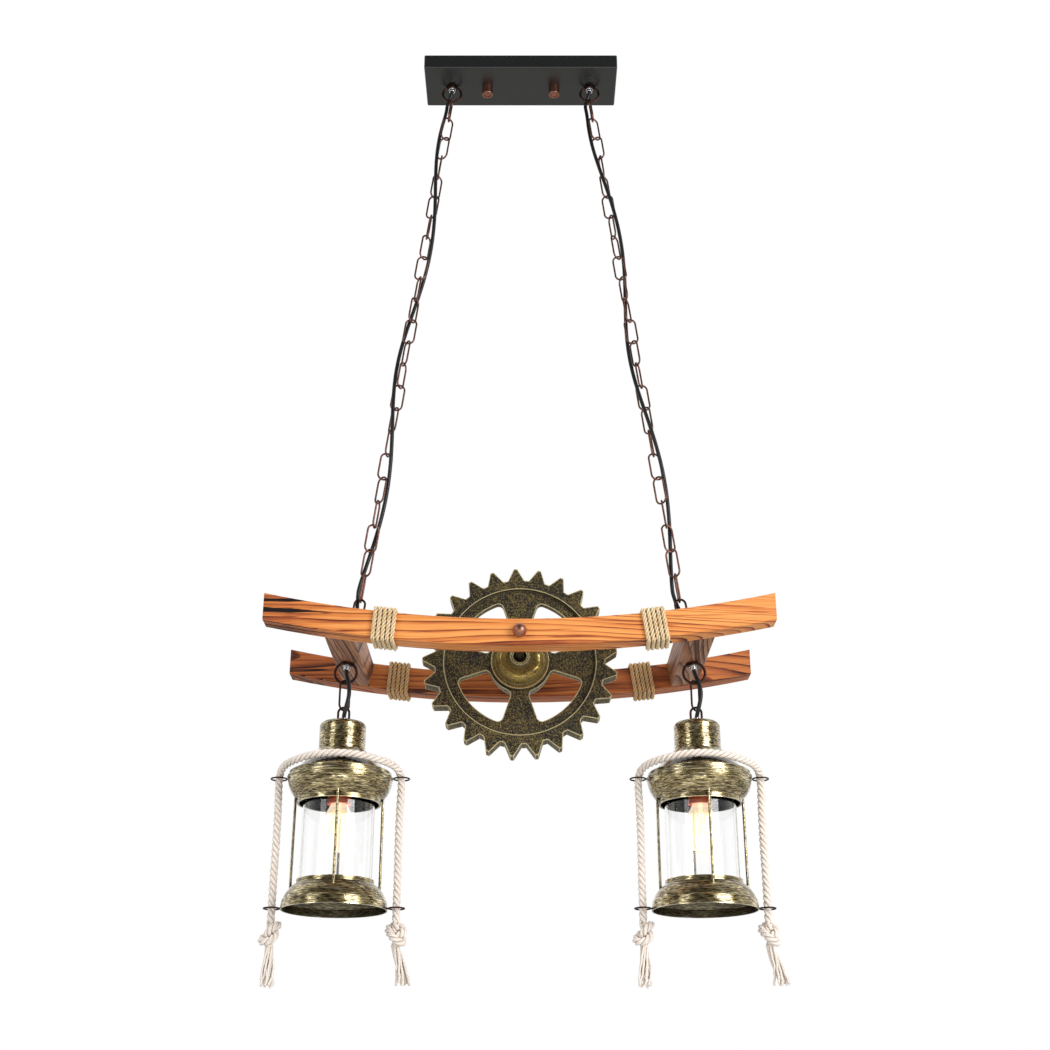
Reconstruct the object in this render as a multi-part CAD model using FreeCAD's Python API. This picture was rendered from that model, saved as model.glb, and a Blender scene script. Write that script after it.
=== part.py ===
import FreeCAD, Part
import math
import os

# Wood beam pendant light that hangs from the ceiling plane z = 0.
# X runs along the beams, +Y away from the viewer, +Z up. All sizes are in millimetres.
V = FreeCAD.Vector
X, Y, Z = V(1, 0, 0), V(0, 1, 0), V(0, 0, 1)
ORIGIN = V(0, 0, 0)
SIDES = (("left", -1), ("right", 1))
os.makedirs("parts", exist_ok=True)

# Clearances
GAP = 0.4             # between hanging wires, and between soft and hard pieces
FIT = 0.2             # radial, around screws, stems and rods in their holes

# Canopy
PAN_LENGTH = 355.0
PAN_WIDTH = 108.0
PAN_HEIGHT = 28.0
PAN_SHEET = 1.5
PAN_BEND = 3.0        # outer radius of the folded edges
BRACKET_WIDTH = 25.0
BRACKET_THICK = 3.0
BRACKET_END = 10.0    # bracket material past each stud
CEILING_SCREW_PITCH = 89.0
CEILING_SCREW_HOLE = 5.0
STUD_X = 62.0
STUD_D = 5.0
FINIAL_D = 20.0
FINIAL_H = 18.0
FINIAL_DISH_D = 14.0
FINIAL_DISH = 1.2
TERMINAL_SIZE = (34.0, 16.0, 11.0)
LEAD_D = 3.0

# Ring loops under the canopy and under the crossbars
CANOPY_LOOP_X = 128.0
RING_DROP = 34.0      # from the seat face to the centre of the lowest wire
RING_R = 17.0         # to the wire's centre
RING_WIRE = 4.2
LOOP_BOSS_D = 18.0
LOOP_BOSS_H = 5.0
STEM_D = 9.6
STEM_BORE = 7.2
STEM_RISE = 13.0      # of the canopy loops' stems above the pan's lower face
LOCKNUT_AF = 14.0
LOCKNUT_H = 4.0
BUSH_D = 11.0
BUSH_H = 7.0
BUSH_LIP_D = 13.0
BUSH_LIP_H = 2.0

# Eyes on top of the crossbars and of the lanterns
EYE_R = 8.5           # to the wire's centre
EYE_WIRE = 3.6
EYE_CROWN_D = 22.0    # disc that the wire's legs stand on
EYE_NECK_D = 14.0
EYE_FLANGE_D = 24.0
EYE_FLANGE_H = 6.0
EYE_TAPER = 3.5       # height of the cones between flange, neck and crown
CROSSBAR_EYE_RISE = 67.5   # from the crossbar's top face to the centre of the eye's top wire
CROSSBAR_NECK_H = 24.0
NIPPLE_IN_EYE = 10.0
NIPPLE_IN_RING = 4.0

# Chains
CHAIN_LINKS = 23
LINK_WIDTH = 22.0
LINK_WIRE = 3.2
CHAIN_TWIST = 720.0   # extra turn of the whole chain, spread over its links
CHAIN_PLAY = 0.9      # between the wires of two slanting links
LANTERN_LINK_TURN = -45.0
TURNED_LINK_PLAY = 0.8    # more room for a lantern's eye on its slanting link

# Beams and crossbars
BEAM_LENGTH = 760.0
BEAM_HEIGHT = 41.0
BEAM_DEPTH = 36.0
BEAM_SAG = 40.0       # rise of the beam's ends over its middle
BEAM_Z = -1152.0      # middle of the beam at x = 0
BEAM_SPACING = 270.0
EDGE_BREAK = 1.6      # chamfer on the long edges of the timber
CROSSBAR_IN = 113.0   # from the beams' ends to the middle of a crossbar
CROSSBAR_WIDTH = 46.0
CROSSBAR_HEIGHT = 39.0
DOWEL_D = 8.0
DOWEL_DEPTH = 17.0    # in each piece of timber
DOWEL_PITCH = 26.0

# Jute wraps
WRAP_IN = 67.0        # from the middle of a crossbar to the middle of a wrap
WRAP_TURNS = 5
JUTE_D = 6.5
JUTE_PITCH = 7.1

# Gear wheel and its rod
GEAR_TEETH = 25
GEAR_TIP_D = 305.0
GEAR_ROOT_D = 266.0
GEAR_TIP_FLAT = 1.0   # half angle of the tooth's tip, degrees
GEAR_ROOT_FLAT = 1.6  # half angle of the floor between two teeth, degrees
GEAR_LEAN = 2.7       # how far the top tooth leans to the left, degrees
GEAR_RIM_THICK = 28.0
GEAR_STEP_D = 237.0
GEAR_WEB_THICK = 14.0
GEAR_WINDOW_D = 204.0
GEAR_HUB_D = 100.0
SPOKE_HUB_WIDTH = 26.0
SPOKE_RIM_WIDTH = 61.0
WINDOW_ROUND = 8.0
HUB_D = 91.0
DOME_FLANGE_H = 6.0
DOME_STEP_D = 76.0
DOME_CROWN_D = 46.0
DOME_CROWN_H = 20.0
DOME_BOSS_D = 30.0
DOME_H = 29.0
DOME_BULGE = 5.0      # of the dome's side over a straight cone
DRUM_H = 27.0
DRUM_ROUND = 3.0
NUT_POCKET_D = 21.0
NUT_POCKET = 14.0
ROD_D = 12.0
ROD_END_D = 8.0       # of the rod's ends in the ball nuts
ROD_NUT_AF = 17.0
ROD_NUT_H = 8.0
BALL_D = 21.0
BALL_SEAT_D = 16.0
BALL_BORE = 9.0

# Lantern, heights are below the top of its cap
CAP_TOP_DROP = 24.8   # from the eye's top wire to the cap's top
CAP_D = 71.0
CAP_H = 45.0
CAP_ROUND = 7.0
SHEET = 1.2
SHEET_EDGE = 1.2      # broken edges of the turned sheet
EYE_CROWN_H = 4.0
LANTERN_BUSH_H = 4.0
HOOD_TOP_HOLE_D = 50.0
HOOD_TOP_D = 76.0     # flat seat that the cap stands on
HOOD_SHOULDER_IN = 7.0    # of the shoulder's edge inside the ridge
HOOD_SHOULDER = 80.5
HOOD_BEAD = 2.0       # height of the raised edge that keeps the rope on the shoulder
HOOD_BAND_IN = 2.5        # of the band over the ridge inside it
HOOD_RIDGE_D = 160.0
HOOD_RIDGE = 87.0
HOOD_RIDGE_H = 5.0
HOOD_BOWL_IN = 4.75       # of the bowl halfway down inside the ridge
HOOD_MOUTH_D = 126.0
HOOD_MOUTH = 126.0
HOOD_LIP_H = 6.0
HOOD_LIP_THICK = 3.0
GLASS_D = 108.0
GLASS_WALL = 2.5
GLASS_TUCK = 8.0      # of the glass inside the hood's mouth
BASE_TOP = 239.0
BASE_TOP_D = 115.0
BASE_COLLAR_H = 6.0
BASE_HOLE_D = 88.0
BASE_BELL_IN = 10.0   # of the bell halfway down inside the rim
BASE_BELL_RAISE = 2.0 # of the bell's fullest point over its middle
BASE_SEAM = 267.0
BASE_SEAM_IN = 3.0    # of the seam inside the rim
BASE_BEAD = 1.5       # how far the bead under the seam stands out
BASE_BEAD_H = 2.0
BASE_RIM = 282.0
BASE_RIM_D = 157.0
BASE_RIM_THICK = 2.0
BASE_RIM_H = 4.0
GUARD_CIRCLE_D = 131.0
GUARD_D = 4.0
GUARD_TURN = 4.8      # degrees from the axes
GUARD_PAST = 9.0      # of each guard rod past the hood's mouth and the base's collar
EYELET_D = 26.0
EYELET_WIRE = 2.4
EYELET_SHANK = 6.0
LOWER_EYELET = 279.0
HOLDER_TOP = 64.0
HOLDER_D = 35.0
HOLDER_COLLAR_D = 37.0
HOLDER_COLLAR_H = 9.0
HOLDER_EDGE = 1.0     # slope over the collar
HOLDER_SHOULDER = 4.0
HOLDER_SHOULDER_H = 6.0
HOLDER_END = 126.0
HOLDER_SOCKET = 6.0   # of the stem inside the lampholder
SCREW_CAP_D = 26.4
SCREW_CAP_H = 26.0
SCREW_CAP_END = 122.0
SCREW_CAP_SLOPE = 5.0 # height of the cone and the contact over the thread
CONTACT_D = 10.0
CONTACT_H = 2.0
CONTACT_EDGE = 1.0
BULB_NECK_D = 25.0
BULB_D = 45.0
BULB_SHOULDER = 146.0
BULB_END = 198.0
BULB_WALL = 0.8

# Ropes and cords
ROPE_D = 12.0
KNOT_D = 34.0
KNOT_H = 36.0
TAIL_D = 17.0
TAIL_END_D = 27.0
TAIL_LENGTH = 62.0
KNOT_GRIP = 4.0       # of the rope inside its knot
TAIL_TUCK = 10.0      # of the tail inside its knot
TAIL_LEAN = (0.0, 16.0)   # degrees to the right, on the rope's left and right end
CORD_D = 6.5
CORD_STRAIGHT = 12.0  # of each cord, straight out of its bush

# Chain cord: it lies in the hollow between the links and winds down the chain with their twist.
CORD_REACH = 11.0     # of its route's corners from the chain's middle
CORD_START = 225.0    # where it lies beside the first link, degrees from the front round to the right
# Its ends, (distance down the chain, to the right, towards the viewer), behind the canopy's ring
CHAIN_CORD_TOP = [(1, -9, -8.5)]
# and behind the last link
CHAIN_CORD_LOW = [(986, -6.5, -8.5)]
# and in the crossbar's eye, (distance below the eye's top wire, to the right, towards the viewer)
EYE_CORD = [(10, -4.5, -5.5), (26, 0, 0), (41, 0, 0)]
# Lantern cord from the crossbar's ring to the cap: (x, y, height over the cap's top)
LANTERN_CORD = [(6.5, -7.5, 62), (8.5, -9.5, 42), (3, -6.4, 20), (0, 0, 8), (0, 0, -2)]
# Rope from its left knot to the middle of the hood's front:
# (degrees from the left side round to the front, outwards from the hood's ridge, height)
ROPE_HALF = [
    (0, 11.5, -300), (0, 11.9, -240), (0, 11.2, -182), (0, 11.6, -136), (0, 12.6, -112), (0, 13.2, -84),
    (12, 7.5, -71), (36, -3, -67.5), (61, -10.5, -63.5), (90, -13, -62),
]
# Lead inside the canopy, from a loop's stem to the terminal block: (outwards, y, z)
LEAD_ROUTE = [(128, 0, -22), (128, 0, -8), (100, 5, -8), (62, 9, -11), (34, 4, -18), (18, 0, -21)]


def wire_of(points, arcs=()):
    """A closed wire through points; arcs maps an edge's number to a point that it passes."""
    through = dict(arcs)
    edges = []
    for i, a in enumerate(points):
        b = points[(i + 1) % len(points)]
        curve = Part.Arc(a, through[i], b) if i in through else Part.LineSegment(a, b)
        edges.append(curve.toShape())
    return Part.Wire(edges)


def turned(profile, at, arcs=()):
    """Solid of revolution about Z at a place, from (radius, height) points."""
    points = [V(r, 0, h) for r, h in profile]
    bends = {i: V(r, 0, h) for i, (r, h) in dict(arcs).items()}
    body = Part.Face(wire_of(points, bends)).revolve(ORIGIN, Z, 360)
    body.translate(at)
    return body


def cylinder(diameter, height, at, axis=Z):
    return Part.makeCylinder(diameter / 2, height, at, axis)


def along_axis(body, axis):
    """The straight edges of a block that run along an axis."""
    return [e for e in body.Edges if abs(e.tangentAt(e.FirstParameter).dot(axis)) > 0.9]


def hexagon(across_flats, height, bore, at, axis):
    """A hexagon nut that starts at a point and grows along an axis."""
    corner = across_flats / math.sqrt(3)
    points = [
        V(corner * math.cos(math.radians(60 * i)), corner * math.sin(math.radians(60 * i)), 0)
        for i in range(6)
    ]
    nut = Part.Face(wire_of(points)).extrude(V(0, 0, height))
    nut = nut.cut(cylinder(bore, height, ORIGIN))
    nut.Placement = FreeCAD.Placement(at, FreeCAD.Rotation(Z, axis))
    return nut


def smooth_path(points, bend=None):
    """Straight runs joined by tangent arcs. Returns the edges and the smallest arc radius."""
    edges, tightest = [], math.inf
    start = points[0]
    for a, b, c in zip(points, points[1:], points[2:]):
        into, out = (b - a), (c - b)
        half_turn = into.getAngle(out) / 2
        if bend is None:
            radius = 0.45 * min(into.Length, out.Length) / math.tan(half_turn)
        else:
            radius = bend
        reach = radius * math.tan(half_turn)
        tightest = min(tightest, radius)
        first = b - into.normalize() * reach
        last = b + out.normalize() * reach
        inward = (first + last) * 0.5 - b
        depth = radius / math.cos(half_turn) - radius
        middle = b + inward.normalize() * depth
        edges.append(Part.LineSegment(start, first).toShape())
        edges.append(Part.Arc(first, middle, last).toShape())
        start = last
    edges.append(Part.LineSegment(start, points[-1]).toShape())
    return edges, tightest


def tube(points, diameter, bend=None, name=""):
    """A round tube along a smooth path; prints its tightest bend and a volume test."""
    edges, tightest = smooth_path(points, bend)
    path = Part.Wire(edges)
    section = Part.Wire(Part.makeCircle(diameter / 2, points[0], points[1] - points[0]))
    body = path.makePipeShell([section], True, False)
    ideal = path.Length * math.pi * diameter**2 / 4
    if name:
        print(f"{name}: length {path.Length:.0f}, tightest bend {tightest:.1f},"
              f" volume over section times length {body.Volume / ideal:.4f}")
    return body, path


def least_gap(path, diameter):
    """Least distance between a wound tube's own turns, measured on points along its path."""
    points = path.discretize(Distance=1.5)
    step = path.Length / (len(points) - 1)
    apart = int(3 * diameter / step)
    nearest = min(
        p.distanceToPoint(q)
        for i, p in enumerate(points)
        for q in points[i + apart:]
    )
    return nearest - diameter


def save(node, *solids):
    shape = solids[0] if len(solids) == 1 else Part.makeCompound(solids)
    for solid in shape.Solids:
        if not solid.isValid():
            print("not valid:", node)
    shape.exportStep(f"parts/{node}.step")


# The beams follow a circle whose middle lies above them.
arc_r = (BEAM_LENGTH**2 / 4 + BEAM_SAG**2) / (2 * BEAM_SAG)
arc_centre_z = BEAM_Z + arc_r


def on_arc(x):
    """The beam's middle line at x: its height and its slope in degrees."""
    return arc_centre_z - math.sqrt(arc_r**2 - x**2), math.degrees(math.asin(x / arc_r))


crossbar_x = BEAM_LENGTH / 2 - CROSSBAR_IN
wrap_x = crossbar_x - WRAP_IN
crossbar_z, crossbar_slope = on_arc(crossbar_x)
crossbar_length = BEAM_SPACING - BEAM_DEPTH
rod_at = V(0, 0, BEAM_Z)
pan_face = -PAN_HEIGHT
canopy_wire_z = pan_face - RING_DROP

# Each chain runs straight from the canopy ring's lowest wire to the eye on its crossbar.
eye_reach = CROSSBAR_HEIGHT / 2 + CROSSBAR_EYE_RISE
lean = math.radians(crossbar_slope)
eye_x = crossbar_x - eye_reach * math.sin(lean)
eye_z = crossbar_z + eye_reach * math.cos(lean)
chain_run = V(eye_x - CANOPY_LOOP_X, 0, eye_z - canopy_wire_z)
wire_step = LINK_WIRE + CHAIN_PLAY
ring_step = (RING_WIRE + LINK_WIRE) / 2 + GAP
eye_step = (EYE_WIRE + LINK_WIRE) / 2 + GAP
link_wires = (chain_run.Length + (CHAIN_LINKS - 1) * wire_step + ring_step + eye_step) / CHAIN_LINKS
link_pitch = link_wires - wire_step
link_turn = CHAIN_TWIST / (CHAIN_LINKS - 1)

# The lanterns hang under the lowest point of the crossbar rings.
ring_reach = CROSSBAR_HEIGHT / 2 + RING_DROP - RING_R
lantern_x = crossbar_x + ring_reach * math.sin(lean)
lantern_ring_z = crossbar_z - ring_reach * math.cos(lean) - RING_R
lantern_link_top = lantern_ring_z + ring_step
lantern_eye_z = lantern_link_top - link_wires + eye_step + TURNED_LINK_PLAY
cap_top = lantern_eye_z - CAP_TOP_DROP


def chain_point(side, along, out, front):
    """A place beside a chain: distance down it, outwards and towards the viewer."""
    down = V(chain_run).normalize()
    across = V(-down.z, 0, down.x)
    place = V(CANOPY_LOOP_X, 0, canopy_wire_z) + down * along + across * out - Y * front
    return V(side * place.x, place.y, place.z)


def on_crossbar(side, along, out, up):
    """A place on a crossbar: along the beam's slope outwards, along Y, and up its normal."""
    x = crossbar_x + along * math.cos(lean) - up * math.sin(lean)
    z = crossbar_z + along * math.sin(lean) + up * math.cos(lean)
    return V(side * x, out, z)


def crossbar_normal(side):
    return V(-side * math.sin(lean), 0, math.cos(lean))


# Canopy pan: a folded sheet, open at the top, with holes for the studs and the loop stems.
def rounded_box(length, width, height, radius):
    box = Part.makeBox(length, width, height, V(-length / 2, -width / 2, -height))
    edges = [e for e in box.Edges if min(v.Point.z for v in e.Vertexes) < -height / 2]
    return box.makeFillet(radius, edges)


def canopy_pan():
    inner = 2 * PAN_SHEET
    pan = rounded_box(PAN_LENGTH, PAN_WIDTH, PAN_HEIGHT, PAN_BEND)
    pan = pan.cut(rounded_box(PAN_LENGTH - inner, PAN_WIDTH - inner, PAN_HEIGHT - PAN_SHEET,
                              PAN_BEND - PAN_SHEET))
    for _, side in SIDES:
        stem = cylinder(STEM_D + 2 * FIT, PAN_HEIGHT, V(side * CANOPY_LOOP_X, 0, pan_face))
        stud = cylinder(STUD_D + 2 * FIT, PAN_HEIGHT, V(side * STUD_X, 0, pan_face))
        pan = pan.cut(stem).cut(stud)
    return pan


def mounting_bracket():
    length = 2 * (STUD_X + BRACKET_END)
    bar = Part.makeBox(length, BRACKET_WIDTH, BRACKET_THICK,
                       V(-length / 2, -BRACKET_WIDTH / 2, -BRACKET_THICK))
    bar = bar.makeFillet(BRACKET_END / 2, along_axis(bar, Z))
    for _, side in SIDES:
        screw = V(side * CEILING_SCREW_PITCH / 2, 0, -BRACKET_THICK)
        stud = V(side * STUD_X, 0, -BRACKET_THICK)
        bar = bar.cut(cylinder(CEILING_SCREW_HOLE, BRACKET_THICK, screw))
        bar = bar.cut(cylinder(STUD_D + 2 * FIT, BRACKET_THICK, stud))
    return bar


def finial_nut(side):
    at = V(side * STUD_X, 0, pan_face - FINIAL_H)
    nut = cylinder(FINIAL_D, FINIAL_H, at)
    rims = [e for e in nut.Edges if e.Vertexes[0].Point.z < at.z + 1 and len(e.Vertexes) == 1]
    nut = nut.makeFillet(FINIAL_DISH, rims)
    nut = nut.cut(cylinder(FINIAL_DISH_D, FINIAL_DISH, at))
    return nut.cut(cylinder(STUD_D + 2 * FIT, FINIAL_H / 2, at + Z * (FINIAL_H / 2)))


def bracket_stud(side):
    low = pan_face - FINIAL_H / 2 + FIT
    return cylinder(STUD_D, -FIT - low, V(side * STUD_X, 0, low))


# Ring loop: a cast ring with a boss, bored for the cord, and a hollow stem above it or a socket.
def ring_loop(stem_height, socket=0.0):
    ring = Part.makeTorus(RING_R, RING_WIRE / 2, V(0, 0, RING_R - RING_DROP), Y)
    above = Part.makeBox(4 * RING_R, 4 * RING_R, RING_R, V(-2 * RING_R, -2 * RING_R, 0))
    body = ring.cut(above).fuse(cylinder(LOOP_BOSS_D, LOOP_BOSS_H, V(0, 0, -LOOP_BOSS_H)))
    if stem_height:
        body = body.fuse(cylinder(STEM_D, stem_height, ORIGIN))
    if socket:
        body = body.cut(cylinder(STEM_D + 2 * FIT, socket, V(0, 0, -socket)))
    bore = cylinder(STEM_BORE, 2 * RING_R, V(0, 0, -LOOP_BOSS_H))
    return body.cut(bore)


def cord_bush(height, seat, facing):
    """Chrome strain relief that grows from a seat along a direction."""
    bore, lip, body = STEM_BORE / 2, BUSH_LIP_D / 2, BUSH_D / 2
    nose = (body - bore) / 2
    profile = [(bore, 0), (lip, 0), (lip, BUSH_LIP_H), (body, BUSH_LIP_H), (body, height - nose),
               (body - nose, height), (bore, height)]
    round_nose = (body - nose * (1 - math.sqrt(0.5)), height - nose * (1 - math.sqrt(0.5)))
    bush = turned(profile, ORIGIN, {4: round_nose})
    bush.Placement = FreeCAD.Placement(seat, FreeCAD.Rotation(Z, facing))
    return bush


# Eye: a wire arch on two legs over a turned neck that the cord runs down through.
def eye(rise, neck, crown_height, stem=0.0, socket=0.0):
    arch_z = rise - EYE_R
    arch = Part.makeTorus(EYE_R, EYE_WIRE / 2, V(0, 0, arch_z), Y)
    reach = 2 * EYE_R
    body = arch.common(Part.makeBox(2 * reach, 2 * reach, reach, V(-reach, -reach, arch_z)))
    foot = crown_height - EYE_WIRE
    for x in (-EYE_R, EYE_R):
        body = body.fuse(cylinder(EYE_WIRE, arch_z - foot, V(x, 0, foot)))
    body = body.fuse(turned(neck, ORIGIN))
    if stem:
        body = body.fuse(cylinder(STEM_D, stem, V(0, 0, -stem)))
    if socket:
        body = body.cut(cylinder(STEM_D + 2 * FIT, socket, ORIGIN))
    return body.cut(cylinder(STEM_BORE, stem + crown_height, V(0, 0, -stem)))


# One welded chain link, upright in the YZ plane, from its top wire's centre downwards.
def chain_link():
    bend = (LINK_WIDTH - LINK_WIRE) / 2
    wire = LINK_WIRE / 2
    straight = link_wires - 2 * bend
    half = 4 * bend
    top = Part.makeTorus(bend, wire, V(0, 0, -bend), X)
    top = top.common(Part.makeBox(2 * half, 2 * half, half, V(-half, -half, -bend)))
    low = Part.makeTorus(bend, wire, V(0, 0, -bend - straight), X)
    low = low.common(Part.makeBox(2 * half, 2 * half, half, V(-half, -half, -bend - straight - half)))
    body = top.fuse(low)
    for y in (-bend, bend):
        body = body.fuse(cylinder(LINK_WIRE, straight, V(0, y, -bend - straight)))
    return body.removeSplitter()


LINK = chain_link()


def placed_link(top, down, turn):
    """A link whose top wire is at a place, hanging along a direction and turned about it."""
    link = LINK.copy()
    spin = FreeCAD.Rotation(Z, turn)
    link.Placement = FreeCAD.Placement(top, FreeCAD.Rotation(-Z, down).multiply(spin))
    return link


def hung_links(side):
    """All links of one chain, from the canopy ring to the crossbar's eye."""
    down = chain_point(side, 1, 0, 0) - chain_point(side, 0, 0, 0)
    return [
        placed_link(chain_point(side, k * link_pitch - ring_step, 0, 0), down, k * (90 + link_turn))
        for k in range(CHAIN_LINKS)
    ]


def chain_cord_route(side):
    """From the canopy's bush down the chain, one corner beside each link, to the crossbar's bush."""
    bush_out = V(side * CANOPY_LOOP_X, 0, pan_face - LOOP_BOSS_H)
    spots = list(CHAIN_CORD_TOP)
    for k in range(CHAIN_LINKS):
        around = math.radians(CORD_START + k * link_turn)
        middle = k * link_pitch - ring_step + link_wires / 2
        spots.append((middle, CORD_REACH * math.sin(around), CORD_REACH * math.cos(around)))
    spots += CHAIN_CORD_LOW
    route = [bush_out, bush_out - Z * CORD_STRAIGHT]
    route += [chain_point(side, along, side * right, front) for along, right, front in spots]
    route += [on_crossbar(side, side * right, -front, eye_reach - low) for low, right, front in EYE_CORD]
    return route


# Timber beam along the circle, sawn upright at both ends, with holes for the rod and dowels.
def beam(row):
    half, depth = BEAM_LENGTH / 2, BEAM_DEPTH
    low_r, high_r = arc_r + BEAM_HEIGHT / 2, arc_r - BEAM_HEIGHT / 2
    middle = row * BEAM_SPACING / 2

    def at(x, radius):
        return V(x, middle - depth / 2, arc_centre_z - math.sqrt(radius**2 - x**2))

    outline = wire_of(
        [at(-half, low_r), at(half, low_r), at(half, high_r), at(-half, high_r)],
        {0: at(0, low_r), 2: at(0, high_r)},
    )
    body = Part.Face(outline).extrude(Y * depth)
    body = body.makeChamfer(EDGE_BREAK, [e for e in body.Edges if e.Length > half])
    body = body.cut(cylinder(ROD_D + 2 * FIT, 2 * depth, V(0, middle - depth, BEAM_Z), Y))
    for hole in dowels(FIT):
        body = body.cut(hole)
    return body


def dowels(clearance=0.0):
    """The dowels of the four crossbar joints, or the holes for them."""
    length = 2 * (DOWEL_DEPTH + clearance)
    pins = []
    for _, side in SIDES:
        for row in (-1, 1):
            for along in (-DOWEL_PITCH / 2, DOWEL_PITCH / 2):
                start = on_crossbar(side, along, row * crossbar_length / 2 - length / 2, 0)
                pins.append(cylinder(DOWEL_D + 2 * clearance, length, start, Y))
    return pins


def crossbar(side):
    body = Part.makeBox(CROSSBAR_WIDTH, crossbar_length, CROSSBAR_HEIGHT,
                        V(-CROSSBAR_WIDTH / 2, -crossbar_length / 2, -CROSSBAR_HEIGHT / 2))
    body = body.makeChamfer(EDGE_BREAK, along_axis(body, Y))
    body = body.cut(cylinder(STEM_D + 2 * FIT, CROSSBAR_HEIGHT, V(0, 0, -CROSSBAR_HEIGHT / 2)))
    body.Placement = on_crossbar_frame(side, 0)
    for hole in dowels(FIT):
        body = body.cut(hole)
    return body


def on_crossbar_frame(side, up):
    turn = FreeCAD.Rotation(Z, crossbar_normal(side))
    return FreeCAD.Placement(on_crossbar(side, 0, 0, up), turn)


# Jute wrap: one length of cord wound round a beam, with both ends on the beam's rear face.
def jute_wrap(side, row):
    rear = BEAM_DEPTH / 2 + GAP + JUTE_D / 2
    upper = BEAM_HEIGHT / 2 + GAP + JUTE_D / 2
    corners = [(rear, upper), (-rear, upper), (-rear, -upper), (rear, -upper)]
    half = WRAP_TURNS * JUTE_PITCH / 2
    route = [V(-half, rear, 0)]
    for k in range(4 * WRAP_TURNS):
        y, n = corners[k % 4]
        route.append(V(-half + (k + 0.5) * JUTE_PITCH / 4, y, n))
    route.append(V(half, rear, 0))
    body, path = tube(route, JUTE_D, bend=EDGE_BREAK + GAP + JUTE_D / 2, name="jute wrap")
    print(f"jute wrap: least gap to itself {least_gap(path, JUTE_D):.2f}")
    z, slope = on_arc(side * wrap_x)
    body.Placement = FreeCAD.Placement(V(side * wrap_x, row * BEAM_SPACING / 2, z),
                                       FreeCAD.Rotation(Y, -slope))
    return body


# Gear wheel in the XZ plane: pointed teeth, a thick rim, a thinner web with four flared spokes.
def gear_wheel():
    def polar(radius, degrees):
        return V(radius * math.sin(math.radians(degrees)), 0, radius * math.cos(math.radians(degrees)))

    pitch = 360 / GEAR_TEETH
    outline = []
    for k in range(GEAR_TEETH):
        middle = k * pitch - GEAR_LEAN
        outline += [
            polar(GEAR_ROOT_D / 2, middle - pitch / 2 + GEAR_ROOT_FLAT),
            polar(GEAR_TIP_D / 2, middle - GEAR_TIP_FLAT),
            polar(GEAR_TIP_D / 2, middle + GEAR_TIP_FLAT),
            polar(GEAR_ROOT_D / 2, middle + pitch / 2 - GEAR_ROOT_FLAT),
        ]
    wheel = Part.Face(wire_of(outline)).extrude(Y * GEAR_RIM_THICK)
    recess = (GEAR_RIM_THICK - GEAR_WEB_THICK) / 2
    wheel = wheel.cut(cylinder(GEAR_STEP_D, recess, ORIGIN, Y))
    wheel = wheel.cut(cylinder(GEAR_STEP_D, recess, Y * (GEAR_RIM_THICK - recess), Y))

    rim_r, hub_r = GEAR_WINDOW_D / 2, GEAR_HUB_D / 2
    flare = (SPOKE_RIM_WIDTH - SPOKE_HUB_WIDTH) / 2 / (rim_r - hub_r)
    base = SPOKE_HUB_WIDTH / 2 - flare * hub_r

    def on_spoke(radius):
        """Where a spoke's edge meets a circle: its distance along and beside the spoke."""
        a, b, c = 1 + flare**2, flare * base, base**2 - radius**2
        along = (-b + math.sqrt(b**2 - a * c)) / a
        return along, base + flare * along

    (x0, w0), (x1, w1) = on_spoke(hub_r), on_spoke(rim_r)
    half = math.sqrt(0.5)
    window = wire_of(
        [V(x0, 0, w0), V(x1, 0, w1), V(w1, 0, x1), V(w0, 0, x0)],
        {1: V(rim_r * half, 0, rim_r * half), 3: V(hub_r * half, 0, hub_r * half)},
    )
    window = Part.Face(window).extrude(Y * GEAR_RIM_THICK)
    window = window.makeFillet(WINDOW_ROUND, along_axis(window, Y))
    for quarter in range(4):
        opening = window.copy()
        opening.rotate(ORIGIN, Y, 90 * quarter)
        wheel = wheel.cut(opening)
    wheel = wheel.cut(cylinder(ROD_D + 2 * FIT, GEAR_RIM_THICK, ORIGIN, Y))
    wheel.translate(rod_at - Y * (GEAR_RIM_THICK / 2))
    return wheel


def hub(profile, arcs, height, facing):
    """A hub turned about Z, bored for the rod, with a pocket for its nut, set on the gear's web."""
    body = turned(profile, ORIGIN, arcs)
    body = body.cut(cylinder(ROD_D + 2 * FIT, height, ORIGIN))
    body = body.cut(cylinder(NUT_POCKET_D, NUT_POCKET, V(0, 0, height - NUT_POCKET)))
    body.Placement = FreeCAD.Placement(rod_at + facing * (GEAR_WEB_THICK / 2), FreeCAD.Rotation(Z, facing))
    return body


def hub_dome():
    step, crown, boss = DOME_STEP_D / 2, DOME_CROWN_D / 2, DOME_BOSS_D / 2
    profile = [(0, 0), (HUB_D / 2, 0), (HUB_D / 2, DOME_FLANGE_H), (step, DOME_FLANGE_H),
               (crown, DOME_CROWN_H), (boss, DOME_CROWN_H), (boss, DOME_H), (0, DOME_H)]
    rise, run = DOME_CROWN_H - DOME_FLANGE_H, step - crown
    out = DOME_BULGE / math.hypot(rise, run)
    bulge = ((step + crown) / 2 + out * rise, (DOME_FLANGE_H + DOME_CROWN_H) / 2 + out * run)
    return hub(profile, {3: bulge}, DOME_H, -Y)


def hub_drum():
    radius, edge = HUB_D / 2, DRUM_ROUND
    profile = [(0, 0), (radius, 0), (radius, DRUM_H - edge), (radius - edge, DRUM_H), (0, DRUM_H)]
    round_edge = (radius - edge * (1 - math.sqrt(0.5)), DRUM_H - edge * (1 - math.sqrt(0.5)))
    return hub(profile, {2: round_edge}, DRUM_H, Y)


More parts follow.
